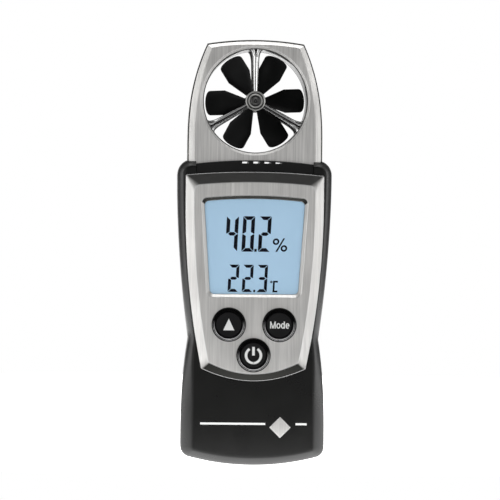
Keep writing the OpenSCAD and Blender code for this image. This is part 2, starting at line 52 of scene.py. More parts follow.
MM = 0.001
# Face mark: edge wear on moulded and turned finishes; on brushed metal, above 0 a painted highlight and below
# 0 a painted shade line
EDGE_WEAR_AND_PAINTED_LIGHT = "edge_wear_and_painted_light"
# Corners nearer than this are one, in new shapes and in cut or copied ones
MERGE = 1e-7
WELD = 2e-6
# A height above the whole meter
NOWHERE = 0.2
Point = tuple[float, float]
Place = tuple[float, float, float]
Colour = tuple[float, float, float]
Socket = bpy.types.NodeSocket
Number = Socket | float
Shade = Socket | Colour


class Body(Enum):
    """The groups of the meter that move as one, by the names of its frame."""

    HOUSING = "housing"
    VANE = "vane_rotor"
    UP = "up_key"
    MODE = "mode_key"
    POWER = "power_key"
    COVER = "back_cover"


class Facing(Enum):
    """Which way a flat print or a lathe's axis looks."""

    FRONT = -1
    BACK = 1


# ---------------------------------------------------------------- node trees


class Graph:
    """Adds and links nodes in one node tree."""

    def __init__(self, tree: bpy.types.NodeTree) -> None:
        """Wraps a tree.

        Args:
            tree: the shader or geometry tree to fill.
        """
        self.tree = tree

    def add(self, kind: str, values: dict | None = None, **settings) -> bpy.types.Node:
        """Adds one node.

        Args:
            kind: the node's type name.
            values: plain values for its input sockets, by name or index.
            settings: attributes of the node itself.

        Returns:
            The new node.
        """
        node = self.tree.nodes.new(kind)
        for name, value in settings.items():
            setattr(node, name, value)
        for key, value in (values or {}).items():
            node.inputs[key].default_value = value
        return node

    def link(self, source: Socket, target: Socket) -> None:
        """Joins an output socket to an input socket."""
        self.tree.links.new(source, target)

    def give(self, target: Socket, value: Number | Colour) -> None:
        """Feeds an input with a socket, a number or a colour.

        Args:
            target: the input socket.
            value: what it gets.
        """
        if isinstance(value, Socket):
            self.link(value, target)
        elif isinstance(value, tuple):
            target.default_value = (*value, 1.0)
        else:
            target.default_value = value

    def split(self, vector: Socket) -> bpy.types.NodeOutputs:
        """Takes a vector apart into its X, Y and Z sockets.

        Args:
            vector: the vector socket.

        Returns:
            The three sockets, by number.
        """
        node = self.add("ShaderNodeSeparateXYZ")
        self.link(vector, node.inputs[0])
        return node.outputs

    def math(self, kind: str, a: Number, b: Number = 0.0, clamp: bool = False) -> Socket:
        """Adds a Math node.

        Args:
            kind: the operation's name.
            a: first socket or number.
            b: second socket or number.
            clamp: whether the result is kept between 0 and 1.

        Returns:
            The result's socket.
        """
        node = self.add("ShaderNodeMath", operation=kind, use_clamp=clamp)
        self.give(node.inputs[0], a)
        self.give(node.inputs[1], b)
        return node.outputs[0]

    def span(self, value: Socket, low: float, high: float,
             to_low: float = 0.0, to_high: float = 1.0) -> Socket:
        """Maps a value smoothly from one range to another.

        Args:
            value: the socket to map.
            low: where the result is to_low.
            high: where the result is to_high.
            to_low: result at low.
            to_high: result at high.

        Returns:
            The mapped socket.
        """
        node = self.add("ShaderNodeMapRange", {1: low, 2: high, 3: to_low, 4: to_high},
                        interpolation_type="SMOOTHSTEP")
        self.link(value, node.inputs[0])
        return node.outputs[0]

    def blend(self, factor: Number, first: Shade, second: Shade) -> Socket:
        """Mixes two colours.

        Args:
            factor: 0 for the first, 1 for the second.
            first: colour socket or RGB.
            second: colour socket or RGB.

        Returns:
            The mixed colour's socket.
        """
        node = self.add("ShaderNodeMix", data_type="RGBA")
        for slot, value in ((0, factor), (6, first), (7, second)):
            self.give(node.inputs[slot], value)
        return node.outputs[2]

    def noise(self, place: Socket, scale: Number, **values: float) -> Socket:
        """Adds a Noise texture.

        Args:
            place: the coordinates.
            scale: its scale, as a socket or a number.
            values: its other inputs by name.

        Returns:
            The socket of its value.
        """
        node = self.add("ShaderNodeTexNoise", values)
        self.link(place, node.inputs["Vector"])
        self.give(node.inputs["Scale"], scale)
        return node.outputs["Fac"]


def shader_group(name: str, inputs: dict[str, float | None], outputs: Sequence[str]) -> tuple:
    """Makes an empty shader group with sockets.

    Args:
        name: the group's name.
        inputs: float inputs with defaults; None marks a vector.
        outputs: float outputs.

    Returns:
        The group's tree, its graph, and its input and output nodes.
    """
    tree = bpy.data.node_groups.new(name, "ShaderNodeTree")
    for key, value in inputs.items():
        kind = "NodeSocketVector" if value is None else "NodeSocketFloat"
        socket = tree.interface.new_socket(name=key, in_out="INPUT", socket_type=kind)
        if value is not None:
            socket.default_value = value
    for key in outputs:
        tree.interface.new_socket(name=key, in_out="OUTPUT", socket_type="NodeSocketFloat")
    graph = Graph(tree)
    return tree, graph, graph.add("NodeGroupInput"), graph.add("NodeGroupOutput")


def brush_lines(fine: float = 0.4, broad: float = 0.35) -> bpy.types.NodeTree:
    """Fine upright brush lines, as a tone round 1 and a height.

    Args:
        fine: share of each of the two sets of lines in the tone.
        broad: share of the slow clouds in the tone.

    Returns:
        The group's tree.
    """
    sizes = {"Vector": None, "Lines": 3200.0, "Stretch": 45.0, "Contrast": 0.3}
    tree, graph, given, made = shader_group("brush_lines", sizes, ("Tone", "Height"))
    parts = graph.split(given.outputs["Vector"])
    lines = []
    for share in (1.0, 0.3):
        across = graph.math("MULTIPLY", given.outputs["Lines"], share)
        along = graph.math("DIVIDE", across, given.outputs["Stretch"])
        drawn = graph.add("ShaderNodeCombineXYZ")
        for axis, scale in enumerate((across, across, along)):
            graph.link(graph.math("MULTIPLY", parts[axis], scale), drawn.inputs[axis])
        lines.append(graph.noise(drawn.outputs[0], 1.0, Detail=4.0, Roughness=0.65))
    clouds = graph.noise(given.outputs["Vector"], 85.0, Detail=1.0, Roughness=0.4)
    both = graph.math("MULTIPLY", graph.math("ADD", *lines), fine)
    mixed = graph.math("ADD", both, graph.math("MULTIPLY", clouds, broad))
    centred = graph.math("SUBTRACT", mixed, fine + broad / 2)
    swing = graph.math("MULTIPLY", centred, given.outputs["Contrast"])
    graph.link(graph.math("ADD", swing, 1.0), made.inputs["Tone"])
    graph.link(lines[0], made.inputs["Height"])
    return tree


def mould_grain() -> bpy.types.NodeTree:
    """Spark-eroded grain of moulded plastic: a height, and a slow blotch between 0 and 1.

    Returns:
        The group's tree.
    """
    sizes = {"Vector": None, "Fineness": 9000.0}
    tree, graph, given, made = shader_group("mould_grain", sizes, ("Height", "Blotch"))
    place = given.outputs["Vector"]
    pits = graph.noise(place, given.outputs["Fineness"], Detail=2.0, Roughness=0.55)
    slow = graph.noise(place, 110.0, Detail=3.0, Roughness=0.5, Distortion=0.4)
    graph.link(pits, made.inputs["Height"])
    graph.link(graph.span(slow, 0.35, 0.65), made.inputs["Blotch"])
    return tree


def edge_rub() -> bpy.types.NodeTree:
    """Rubbed spots on the faces that a piece marks as its rounded edges.

    Returns:
        The group's tree.
    """
    tree, graph, given, made = shader_group("edge_rub", {"Vector": None, "Amount": 0.5}, ("Mask",))
    edge = graph.add("ShaderNodeAttribute", attribute_name=EDGE_WEAR_AND_PAINTED_LIGHT)
    broken = graph.span(graph.noise(given.outputs["Vector"], 900.0, Detail=3.0), 0.4, 0.62)
    both = graph.math("MULTIPLY", edge.outputs["Fac"], broken)
    graph.link(graph.math("MULTIPLY", both, given.outputs["Amount"], clamp=True), made.inputs["Mask"])
    return tree


def hand_film() -> bpy.types.NodeTree:
    """Faint film left by hands and dust, as a mask between 0 and 1.

    Returns:
        The group's tree.
    """
    tree, graph, given, made = shader_group("hand_film", {"Vector": None, "Amount": 0.5}, ("Mask",))
    slow = graph.noise(given.outputs["Vector"], 55.0, Detail=5.0, Roughness=0.6, Distortion=0.8)
    patch = graph.span(slow, 0.45, 0.7)
    graph.link(graph.math("MULTIPLY", patch, given.outputs["Amount"], clamp=True), made.inputs["Mask"])
    return tree


class Groups:
    """The shader groups that the finishes share, each built once."""

    def __init__(self) -> None:
        """Builds every group."""
        self.brush = brush_lines()
        self.grain = mould_grain()
        self.rub = edge_rub()
        self.film = hand_film()


GROUPS = Groups()


class Surface:
    """A new material with a Principled shader and object coordinates ready."""

    def __init__(self, name: str) -> None:
        """Makes the material.

        Args:
            name: the material's name.
        """
        self.material = bpy.data.materials.new(name)
        self.material.use_nodes = True
        self.graph = Graph(self.material.node_tree)
        self.shader = self.material.node_tree.nodes["Principled BSDF"]
        self.place = self.graph.add("ShaderNodeTexCoord").outputs["Object"]

    def group(self, tree: bpy.types.NodeTree, **values: float) -> bpy.types.Node:
        """Places a shared group on the object coordinates.

        Args:
            tree: the group's tree.
            values: values for its inputs.

        Returns:
            The group's node.
        """
        node = self.graph.add("ShaderNodeGroup", node_tree=tree)
        for key, value in values.items():
            node.inputs[key].default_value = value
        self.graph.link(self.place, node.inputs["Vector"])
        return node

    def set(self, **values: float | Colour) -> None:
        """Sets plain numbers on the shader, with _ for a space in a socket's name.

        Args:
            values: numbers or colours by socket name.
        """
        for key, value in values.items():
            socket = self.shader.inputs[key.replace("_", " ")]
            socket.default_value = (*value, 1.0) if isinstance(value, tuple) else value

    def feed(self, name: str, source: Socket) -> None:
        """Links a socket to one of the shader's inputs."""
        self.graph.link(source, self.shader.inputs[name])

    def bump(self, height: Socket, depth: float) -> None:
        """Feeds a height to the shader's normal.

        Args:
            height: the height socket.
            depth: its full height in metres.
        """
        node = self.graph.add("ShaderNodeBump", {"Strength": 1.0, "Distance": depth})
        self.graph.link(height, node.inputs["Height"])
        self.feed("Normal", node.outputs["Normal"])

    def dulled(self, roughness: float, rise: float, amount: float) -> Socket:
        """Feeds a roughness that rises where the hand film lies.

        Args:
            roughness: its value on a clean spot.
            rise: how much the film adds.
            amount: how much film there is.

        Returns:
            The film's mask.
        """
        mask = self.group(GROUPS.film, Amount=amount).outputs["Mask"]
        self.feed("Roughness", self.graph.span(mask, 0, 1, roughness, roughness + rise))
        return mask


def toned(colour: Colour, share: float, least: float = 0.0, most: float = 1.0) -> Colour:
    """Makes a colour lighter or darker, kept between two limits."""
    return tuple(min(most, max(least, part * share)) for part in colour)


# ---------------------------------------------------------------- finishes


@dataclass(frozen=True)
class Moulded:
    """Moulded plastic or rubber with a fine grain, rubbed edges and a faint film."""

    name: str
    colour: Colour
    rub_colour: Colour = (0.16, 0.16, 0.165)
    roughness: float = 0.4
    fineness: float = 9000.0
    depth: float = 4e-6
    rub: float = 0.35
    film: float = 0.5
    gloss: float = 0.5
    coat: float = 0.0

    def build(self) -> bpy.types.Material:
        """Makes the material.

        Returns:
            The material.
        """
        surface = Surface(self.name)
        graph = surface.graph
        grain = surface.group(GROUPS.grain, Fineness=self.fineness)
        rub = surface.group(GROUPS.rub, Amount=self.rub)
        film = surface.group(GROUPS.film, Amount=self.film)
        body = graph.blend(grain.outputs["Blotch"], self.colour, toned(self.colour, 1.15))
        surface.feed("Base Color", graph.blend(rub.outputs["Mask"], body, self.rub_colour))
        rough = graph.span(grain.outputs["Blotch"], 0, 1, self.roughness * 0.94, self.roughness * 1.06)
        dull = graph.math("MULTIPLY", film.outputs["Mask"], 0.14)
        surface.feed("Roughness", graph.math("ADD", rough, dull, clamp=True))
        surface.bump(grain.outputs["Height"], self.depth)
        surface.set(Specular_IOR_Level=self.gloss, Coat_Weight=self.coat, Coat_Roughness=0.08)
        return surface.material


@dataclass(frozen=True)
class Brushed:
    """Metal with upright brush lines, whose slopes that look up or down take a darker colour as painted
    shade.

    Faces marked above 0 get a painted highlight, and faces marked below 0 a painted shade line.
    """

    name: str
    colour: Colour
    dark: Colour
    roughness: float = 0.4
    lines: float = 3200.0
    contrast: float = 1.0
    edge: float = 0.5
    depth: float = 5e-6
    metallic: float = 1.0
    # Painted shade: slopes that look up, above the height dark_above, and slopes that look down take the dark
    # colour; the downward ones take their own painted shade colour when one is given
    dark_above: float = 0.0825
    slope_low: float = 0.1
    slope_high: float = 0.2
    dark_below: bool = True
    painted_shade_line: Colour = (0.03, 0.03, 0.029)
    painted_underside_shade: Colour | None = None

    def build(self) -> bpy.types.Material:
        """Makes the material.

        Returns:
            The material.
        """
        surface = Surface(self.name)
        graph = surface.graph
        brush = surface.group(GROUPS.brush, Lines=self.lines, Contrast=self.contrast)
        film = surface.group(GROUPS.film, Amount=0.5)
        mark = graph.add("ShaderNodeAttribute", attribute_name=EDGE_WEAR_AND_PAINTED_LIGHT).outputs["Fac"]
        brushed = graph.add("ShaderNodeVectorMath", {0: self.colour}, operation="SCALE")
        graph.link(brush.outputs["Tone"], brushed.inputs["Scale"])
        lean = graph.split(graph.add("ShaderNodeNewGeometry").outputs["Normal"])[2]
        height = graph.split(surface.place)[2]
        # Painted shade on slopes that look up high on the piece and on slopes that look down
        up = graph.span(lean, self.slope_low, self.slope_high)
        down = graph.span(lean, -self.slope_low, -self.slope_high) if self.dark_below else 0.0
        high = graph.span(height, self.dark_above, self.dark_above + MM)
        upper = graph.blend(graph.math("MULTIPLY", up, high), brushed.outputs[0], self.dark)
        base = graph.blend(down, upper, self.painted_underside_shade or self.dark)
        # Painted highlight colour for faces marked above 0, painted shade line colour for faces marked below
        # 0
        bright = toned(self.colour, 1.25, least=0.8, most=0.95)
        painted_highlight = graph.math("MULTIPLY", mark, self.edge, clamp=True)
        painted_line_mask = graph.math("MULTIPLY", mark, -1.0, clamp=True)
        surface.feed("Base Color", graph.blend(painted_line_mask, graph.blend(painted_highlight, base, bright), self.painted_shade_line))
        rough = graph.span(brush.outputs["Height"], 0.3, 0.7, self.roughness * 0.85, self.roughness * 1.15)
        dull = graph.math("MULTIPLY", film.outputs["Mask"], 0.06)
        surface.feed("Roughness", graph.math("ADD", rough, dull, clamp=True))
        surface.bump(brush.outputs["Height"], self.depth)
        surface.set(Metallic=self.metallic)
        return surface.material


@dataclass(frozen=True)
class Turned:
    """Plated or turned metal with faint rings and fine scratches."""

    name: str
    colour: Colour
    roughness: float = 0.2
    rings: float = 9000.0
    depth: float = 2e-6

    def build(self) -> bpy.types.Material:
        """Makes the material.

        Returns:
            The material.
        """
        surface = Surface(self.name)
        graph = surface.graph
        wave = graph.add("ShaderNodeTexWave", {"Scale": self.rings, "Distortion": 0.6, "Detail": 2.0},
                         wave_type="RINGS", rings_direction="Y")
        graph.link(surface.place, wave.inputs["Vector"])
        rub = surface.group(GROUPS.rub, Amount=0.6)
        soft = graph.span(wave.outputs["Fac"], 0, 1, 0.0, 0.35)
        body = graph.blend(soft, self.colour, toned(self.colour, 0.75))
        surface.feed("Base Color", graph.blend(rub.outputs["Mask"], body, toned(self.colour, 1.2)))
        surface.dulled(self.roughness, 0.15, 0.6)
        surface.bump(wave.outputs["Fac"], self.depth)
        surface.set(Metallic=1.0)
        return surface.material


@dataclass(frozen=True)
class Lit:
    """The lit display: a pale blue ground, a little darker towards its edges, that glows from its edge
    lights, and whose glow is also painted light for the lamp light that the window keeps from it.
    """

    name: str
    colour: Colour
    edge: Colour
    glow: float
    middle: tuple[float, float]
    reach: tuple[float, float]

    def build(self) -> bpy.types.Material:
        """Makes the material.

        Returns:
            The material.
        """
        surface = Surface(self.name)
        graph = surface.graph
        parts = graph.split(surface.place)
        away = []
        for axis, centre, reach in ((0, self.middle[0], self.reach[0]), (2, self.middle[1], self.reach[1])):
            offset = graph.math("ABSOLUTE", graph.math("SUBTRACT", parts[axis], centre))
            away.append(graph.span(offset, reach * 0.45, reach))
        fade = graph.math("MAXIMUM", *away)
        dots = graph.noise(surface.place, 400.0, Detail=2.0)
        uneven = graph.span(dots, 0.3, 0.7, -0.08, 0.08)
        tone = graph.blend(graph.math("ADD", fade, uneven, clamp=True), self.colour, self.edge)
        surface.feed("Base Color", tone)
        # Glow for the backlight, strong enough to stand in as painted light for the lamp light that the
        # window holds back
        surface.feed("Emission Color", tone)
        surface.feed("Roughness", graph.span(dots, 0.3, 0.7, 0.3, 0.4))
        surface.set(Emission_Strength=self.glow)
        return surface.material


@dataclass(frozen=True)
class Ink:
    """Printed ink or a dark display segment: even in colour, with a slightly uneven coat."""

    name: str
    colour: Colour
    roughness: float = 0.45
    gloss: float = 0.5

    def build(self) -> bpy.types.Material:
        """Makes the material.

        Returns:
            The material.
        """
        surface = Surface(self.name)
        grain = surface.group(GROUPS.grain, Fineness=7000.0)
        weak = toned(self.colour, 0.93)
        surface.feed("Base Color", surface.graph.blend(grain.outputs["Blotch"], self.colour, weak))
        surface.dulled(self.roughness, 0.1, 0.4)
        surface.bump(grain.outputs["Height"], 2e-6)
        surface.set(Specular_IOR_Level=self.gloss)
        return surface.material


@dataclass(frozen=True)
class Clear:
    """Clear window with faint wiping marks in its gloss."""

    name: str
    tint: Colour
    roughness: float = 0.02

    def build(self) -> bpy.types.Material:
        """Makes the material.

        Returns:
            The material.
        """
        surface = Surface(self.name)
        film = surface.dulled(self.roughness, 0.05, 0.5)
        surface.feed("Base Color", surface.graph.blend(film, self.tint, toned(self.tint, 0.98)))
        surface.set(Transmission_Weight=1.0, IOR=1.2, Specular_IOR_Level=0.06)
        return surface.material


@dataclass(frozen=True)
class Striped:
    """Layers, windings or printed bands that follow one axis."""

    name: str
    colour: Colour
    other: Colour
    axis: str = "X"
    bands: float = 1500.0
    roughness: float = 0.4
    metallic: float = 0.0

    def build(self) -> bpy.types.Material:
        """Makes the material.

        Returns:
            The material.
        """
        surface = Surface(self.name)
        graph = surface.graph
        wave = graph.add("ShaderNodeTexWave", {"Scale": self.bands, "Distortion": 0.2},
                         wave_type="BANDS", bands_direction=self.axis)
        graph.link(surface.place, wave.inputs["Vector"])
        surface.feed("Base Color", graph.blend(wave.outputs["Fac"], self.colour, self.other))
        surface.dulled(self.roughness, 0.12, 0.4)
        surface.bump(wave.outputs["Fac"], 8e-6)
        surface.set(Metallic=self.metallic)
        return surface.material


# ---------------------------------------------------------------- mesh work


def new_object(name: str, mesh: bpy.types.Mesh, smooth_below: float) -> bpy.types.Object:
    """Puts a mesh in the scene with smooth shading.

    Args:
        name: the name of the object and its mesh.
        mesh: the finished mesh.
        smooth_below: edges sharper than this many degrees stay sharp.

    Returns:
        The new object.
    """
    mesh.polygons.foreach_set("use_smooth", [True] * len(mesh.polygons))
    mesh.set_sharp_from_angle(angle=math.radians(smooth_below))
    mesh.name = name
    piece = bpy.data.objects.new(name, mesh)
    bpy.context.scene.collection.objects.link(piece)
    return piece


def ended(name: str, work: bmesh.types.BMesh, smooth_below: float) -> bpy.types.Object:
    """Ends bmesh work, which is freed, as an object with smooth shading.

    Args:
        name: the object's name.
        work: the finished bmesh.
        smooth_below: edges sharper than this many degrees stay sharp.

    Returns:
        The new object.
    """
    mesh = bpy.data.meshes.new(name)
    work.to_mesh(mesh)
    work.free()
    return new_object(name, mesh, smooth_below)


def from_bmesh(name: str, work: bmesh.types.BMesh, smooth_below: float = 35.0) -> bpy.types.Object:
    """Ends bmesh work as an object with outward faces and smooth shading.

    Args:
        name: the object's name.
        work: the finished bmesh, which is freed.
        smooth_below: edges sharper than this many degrees stay sharp.

    Returns:
        The new object.
    """
    bmesh.ops.remove_doubles(work, verts=work.verts, dist=MERGE)
    bmesh.ops.recalc_face_normals(work, faces=work.faces)
    return ended(name, work, smooth_below)


def to_metres(work: bmesh.types.BMesh) -> None:
    """Scales a shape drawn in millimetres to metres."""
    bmesh.ops.scale(work, vec=(MM, MM, MM), verts=work.verts)


def evaluated(piece: bpy.types.Object) -> bpy.types.Mesh:
    """Gives the plain mesh that an object's modifiers make."""
    return bpy.data.meshes.new_from_object(piece.evaluated_get(bpy.context.evaluated_depsgraph_get()))


def even_shading(piece: bpy.types.Object) -> bpy.types.Object:
    """Lets the large faces of a piece decide its shading."""
    piece.modifiers.new("even_shading", "WEIGHTED_NORMAL").keep_sharp = True
    return piece


def settle(piece: bpy.types.Object, body: Body, material: bpy.types.Material, slot: str,
           replaces: Sequence[str] = ()) -> None:
    """Dresses a new piece and joins it to its body.

    Args:
        piece: the finished object.
        body: the group it moves with.
        material: its finish.
        slot: the record's material slot it belongs to; not used.
        replaces: frame nodes that it stands for.
    """
    piece.data.materials.clear()
    piece.data.materials.append(material)
    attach(piece, body.value)
    if replaces:
        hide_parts(*replaces)
    log.info("piece %s on %s", piece.name, body.value)


def dress(node: str, material: bpy.types.Material) -> None:
    """Gives a frame node a new material and leaves its shape alone.

    Args:
        node: the frame node.
        material: its finish.
    """
    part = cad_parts[node]
    if not part.material_slots:
        part.data.materials.append(material)
    for place in part.material_slots:
        place.material = material
    log.info("node %s keeps its shape", node)


def corners(node: str) -> tuple[Vector, Vector]:
    """Lowest and highest corner of a frame node, in metres."""
    low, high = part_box(node)
    return Vector(low), Vector(high)


def lathe(profile: Sequence[Point], centre: Vector, facing: Facing, sides: int = 96) -> bmesh.types.BMesh:
    """Turns a profile about an axis along Y.

    Args:
        profile: points as (radius, distance outwards along the facing) in metres.
        centre: where the axis meets distance 0.
        facing: which way distance grows.
        sides: faces round the axis.

    Returns:
        The turned shape.
    """
    work = bmesh.new()
    rings = []
    for radius, out in profile:
        if radius < 1e-9:
            rings.append([work.verts.new(centre + Vector((0, facing.value * out, 0)))])
            continue
        ring = []
        for i in range(sides):
            angle = math.tau * i / sides
            place = Vector((radius * math.cos(angle), facing.value * out, radius * math.sin(angle)))
            ring.append(work.verts.new(centre + place))
        rings.append(ring)
    for low, high in zip(rings, rings[1:]):
        for i in range(sides):
            k = (i + 1) % sides
            around = (low[i % len(low)], low[k % len(low)], high[k % len(high)], high[i % len(high)])
            unique = list(dict.fromkeys(around))
            if len(unique) > 2:
                work.faces.new(unique)
    return work


def prism(work: bmesh.types.BMesh, outline: Sequence[Point], y0: float, y1: float) -> None:
    """Adds a flat outline in X and Z, from y0 back to y1, to a bmesh.

    Args:
        work: the bmesh to add to.
        outline: corner points, in the bmesh's unit.
        y0: front face.
        y1: back face.
    """
    front = [work.verts.new((x, y0, z)) for x, z in outline]
    back = [work.verts.new((x, y1, z)) for x, z in outline]
    work.faces.new(front)
    work.faces.new(list(reversed(back)))
    count = len(outline)
    for i in range(count):
        k = (i + 1) % count
        work.faces.new((front[i], back[i], back[k], front[k]))


def arc(centre: Point, radius: float, start: float, end: float, count: int) -> list[Point]:
    """Points on an arc of count steps, with angles in degrees."""
    turn = [math.radians(start + (end - start) * i / count) for i in range(count + 1)]
    return [(centre[0] + radius * math.cos(a), centre[1] + radius * math.sin(a)) for a in turn]


def round_tree(name: str, material: bpy.types.Material) -> bpy.types.NodeTree:
    """Geometry tree that repeats its input mesh round an axis along Y.

    Args:
        name: the tree's name.
        material: the finish that it sets.

    Returns:
        The tree, with inputs Count, Turn and Centre.
    """
    tree = bpy.data.node_groups.new(name, "GeometryNodeTree")
    sockets = (("Geometry", "INPUT", "Geometry"), ("Count", "INPUT", "Int"), ("Turn", "INPUT", "Float"),
               ("Centre", "INPUT", "Vector"), ("Geometry", "OUTPUT", "Geometry"))
    for key, way, kind in sockets:
        tree.interface.new_socket(name=key, in_out=way, socket_type="NodeSocket" + kind)
    graph = Graph(tree)
    given = graph.add("NodeGroupInput")
    points = graph.add("GeometryNodePoints")
    graph.link(given.outputs["Count"], points.inputs["Count"])
    graph.link(given.outputs["Centre"], points.inputs["Position"])
    number = graph.add("GeometryNodeInputIndex")
    turn = graph.add("ShaderNodeCombineXYZ")
    graph.link(graph.math("MULTIPLY", number.outputs[0], given.outputs["Turn"]), turn.inputs["Y"])
    rotation = graph.add("FunctionNodeEulerToRotation")
    graph.link(turn.outputs[0], rotation.inputs[0])
    copies = graph.add("GeometryNodeInstanceOnPoints")
    graph.link(points.outputs[0], copies.inputs["Points"])
    graph.link(given.outputs["Geometry"], copies.inputs["Instance"])
    graph.link(rotation.outputs[0], copies.inputs["Rotation"])
    real = graph.add("GeometryNodeRealizeInstances")
    graph.link(copies.outputs[0], real.inputs[0])
    finish = graph.add("GeometryNodeSetMaterial", {"Material": material})
    graph.link(real.outputs[0], finish.inputs["Geometry"])
    graph.link(finish.outputs[0], graph.add("NodeGroupOutput").inputs[0])
    return tree


def repeated(single: bpy.types.Object, tree: bpy.types.NodeTree, values: dict[str, int | float | Place],
             name: str) -> bpy.types.Object:
    """Runs a repeating tree on a mesh and gives the plain result.

    Args:
        single: the mesh to repeat, which is used up.
        tree: a tree from round_tree.
        values: the tree's inputs by name.
        name: the new object's name.

    Returns:
        The repeated pieces as one plain object.
    """
    modifier = single.modifiers.new("repeat", "NODES")
    modifier.node_group = tree
    for item in tree.interface.items_tree:
        if item.in_out == "INPUT" and item.name in values:
            modifier[item.identifier] = values[item.name]
    mesh = evaluated(single)
    bpy.data.objects.remove(single)
    return new_object(name, mesh, 35)


# ---------------------------------------------------------------- outlines, in millimetres


def ease(share: float) -> float:
    """Smooth step from 0 to 1."""
    share = min(max(share, 0.0), 1.0)
    return share * share * (3 - 2 * share)


def whole(half: Sequence[Point]) -> list[Point]:
    """Mirrors the right half of an outline, drawn from its foot to its top."""
    return list(half) + [(-x, z) for x, z in reversed(half) if x > 0.001]


def steps(start: float, end: float, count: int, first: int = 0) -> list[float]:
    """Even values from start to end, in count steps, from step first on."""
    return [start + (end - start) * i / count for i in range(first, count + 1)]


@dataclass(frozen=True)
class BodyOutline:
    """The waisted housing from the front: wide shoulders, a waist and a curved foot."""

    half_width: float = 23.0
    waist: tuple[float, float] = (3.6, 37.6)
    hip_half: float = 21.4
    hip_waist: float = 2.0
    hip_z: float = 8.0
    shoulder: tuple[float, float] = (4.5, 86.4)
    foot_r: float = 75.0
    foot_corner: float = 3.2
    least_corner: float = 0.8
    change: tuple[float, float] = (16.0, 38.0)

    def flank(self, z: float) -> float:
        """Half width at height z.

        Args:
            z: the height.

        Returns:
            The half width there.
        """
        waist_in, waist_z = self.waist
        if z >= waist_z:
            top = self.shoulder[1]
            return self.half_width - waist_in * (max(top - z, 0) / (top - waist_z)) ** 1.9
        return self.hip_half - self.hip_waist * (max(z - self.hip_z, 0) / (waist_z - self.hip_z)) ** 2.4

    def ring(self, upper: float, lower: float, foot: float, shoulder: float) -> list[Point]:
        """Outline set in at its sides, foot and shoulders.

        Args:
            upper: inset at the sides above the waist.
            lower: inset at the sides near the foot.
            foot: inset at the foot.
            shoulder: inset at the top.

        Returns:
            The closed outline.
        """
        shoulder_r, shoulder_z = self.shoulder
        corner = max(self.foot_corner - foot, self.least_corner)
        cx = self.hip_half - lower - corner
        cz = self.foot_r - math.sqrt((self.foot_r - foot - corner) ** 2 - cx ** 2)
        turn = math.degrees(math.atan2(cz - self.foot_r, cx))
        top = max(shoulder_r - shoulder, self.least_corner)
        half = arc((0, self.foot_r), self.foot_r - foot, -90, turn, 18)
        half += arc((cx, cz), corner, turn, 0, 8)[1:]
        low, high = self.change
        for z in steps(cz, self.waist[1], 14, 1) + steps(self.waist[1], shoulder_z, 20, 1)[:-1]:
            half.append((self.flank(z) - lower - (upper - lower) * ease((z - low) / (high - low)), z))
        half += arc((self.half_width - upper - top, shoulder_z + shoulder_r - shoulder - top), top, 0, 90, 10)
        return whole(half)


@dataclass(frozen=True)
class HeadOutline:
    """The head from the front: straight sides that lean in to a curved crown."""

    half_width: float = 20.1
    lean_in: float = 5.7
    foot_z: float = 87.5
    lean_z: float = 96.0
    corner_z: float = 125.4
    crown_r: float = 87.0
    height: float = 126.6

    def half_at(self, z: float) -> float:
        """Half width at height z."""
        share = max(z - self.lean_z, 0) / (self.corner_z - self.lean_z)
        return self.half_width - self.lean_in * share ** 2.35

    def ring(self, side: float, top: float) -> list[Point]:
        """Outline set in at its sides and its top.

        Args:
            side: inset at the sides.
            top: inset at the crown.

        Returns:
            The closed outline.
        """
        corner_z = self.corner_z - top
        corner_x = self.half_at(corner_z) - side
        crown_z = self.height - self.crown_r
        half = [(self.half_width - side, z) for z in steps(self.foot_z, self.lean_z, 4)[:-1]]
        half += [(self.half_at(z) - side, z) for z in steps(self.lean_z, corner_z, 28)]
        for x in steps(corner_x, 0, 12, 1):
            half.append((x, crown_z + math.sqrt((self.crown_r - top) ** 2 - x * x)))
        return whole(half)


@dataclass(frozen=True)
class PanelOutline:
    """The silver panel from the front: bowed top and foot, sides that taper down."""

    half_width: float = 20.6
    taper: float = 5.0
    taper_z: float = 80.0
    corner_z: float = 28.8
    foot_z: float = 25.1
    top_z: float = 86.3
    bow: float = 1.0
    corner_r: float = 0.25

    def half_at(self, z: float) -> float:
        """Half width at height z."""
        share = max(self.taper_z - z, 0) / (self.taper_z - self.corner_z)
        return self.half_width - self.taper * share ** 2.1

    def ring(self, side: float, rise: float) -> list[Point]:
        """Outline set in at its sides, and by rise at its top and foot.

        Args:
            side: inset at the sides.
            rise: inset at the top and foot, which it softens too.

        Returns:
            The closed outline.
        """
        drop = rise * 0.85
        z0 = self.corner_z + drop * 0.85
        z1 = self.top_z - rise * 1.22
        x0 = self.half_at(z0) - side
        x1 = self.half_at(z1) - side
        corner = self.corner_r + 0.75 * max(rise, 0)
        side_end = (self.half_at(z1 - corner) - side, z1 - corner)
        top_end = (x1 - corner, z1 + self.bow - ((x1 - corner) / x1) ** 2)
        half = [(x, z0 - (z0 - self.foot_z - drop) * (1 - (x / x0) ** 2)) for x in steps(0, x0, 16)]
        half += [(self.half_at(z) - side, z) for z in steps(z0, side_end[1], 24, 1)]
        for t in steps(0, 1, 8, 1):
            shares = ((1 - t) ** 2, 2 * t * (1 - t), t * t)
            points = (side_end, (x1, z1), top_end)
            half.append(tuple(sum(share * point[k] for share, point in zip(shares, points)) for k in (0, 1)))
        half += [(x, z1 + self.bow - (x / x1) ** 2) for x in steps(top_end[0], 0, 14, 1)]
        return whole(half)


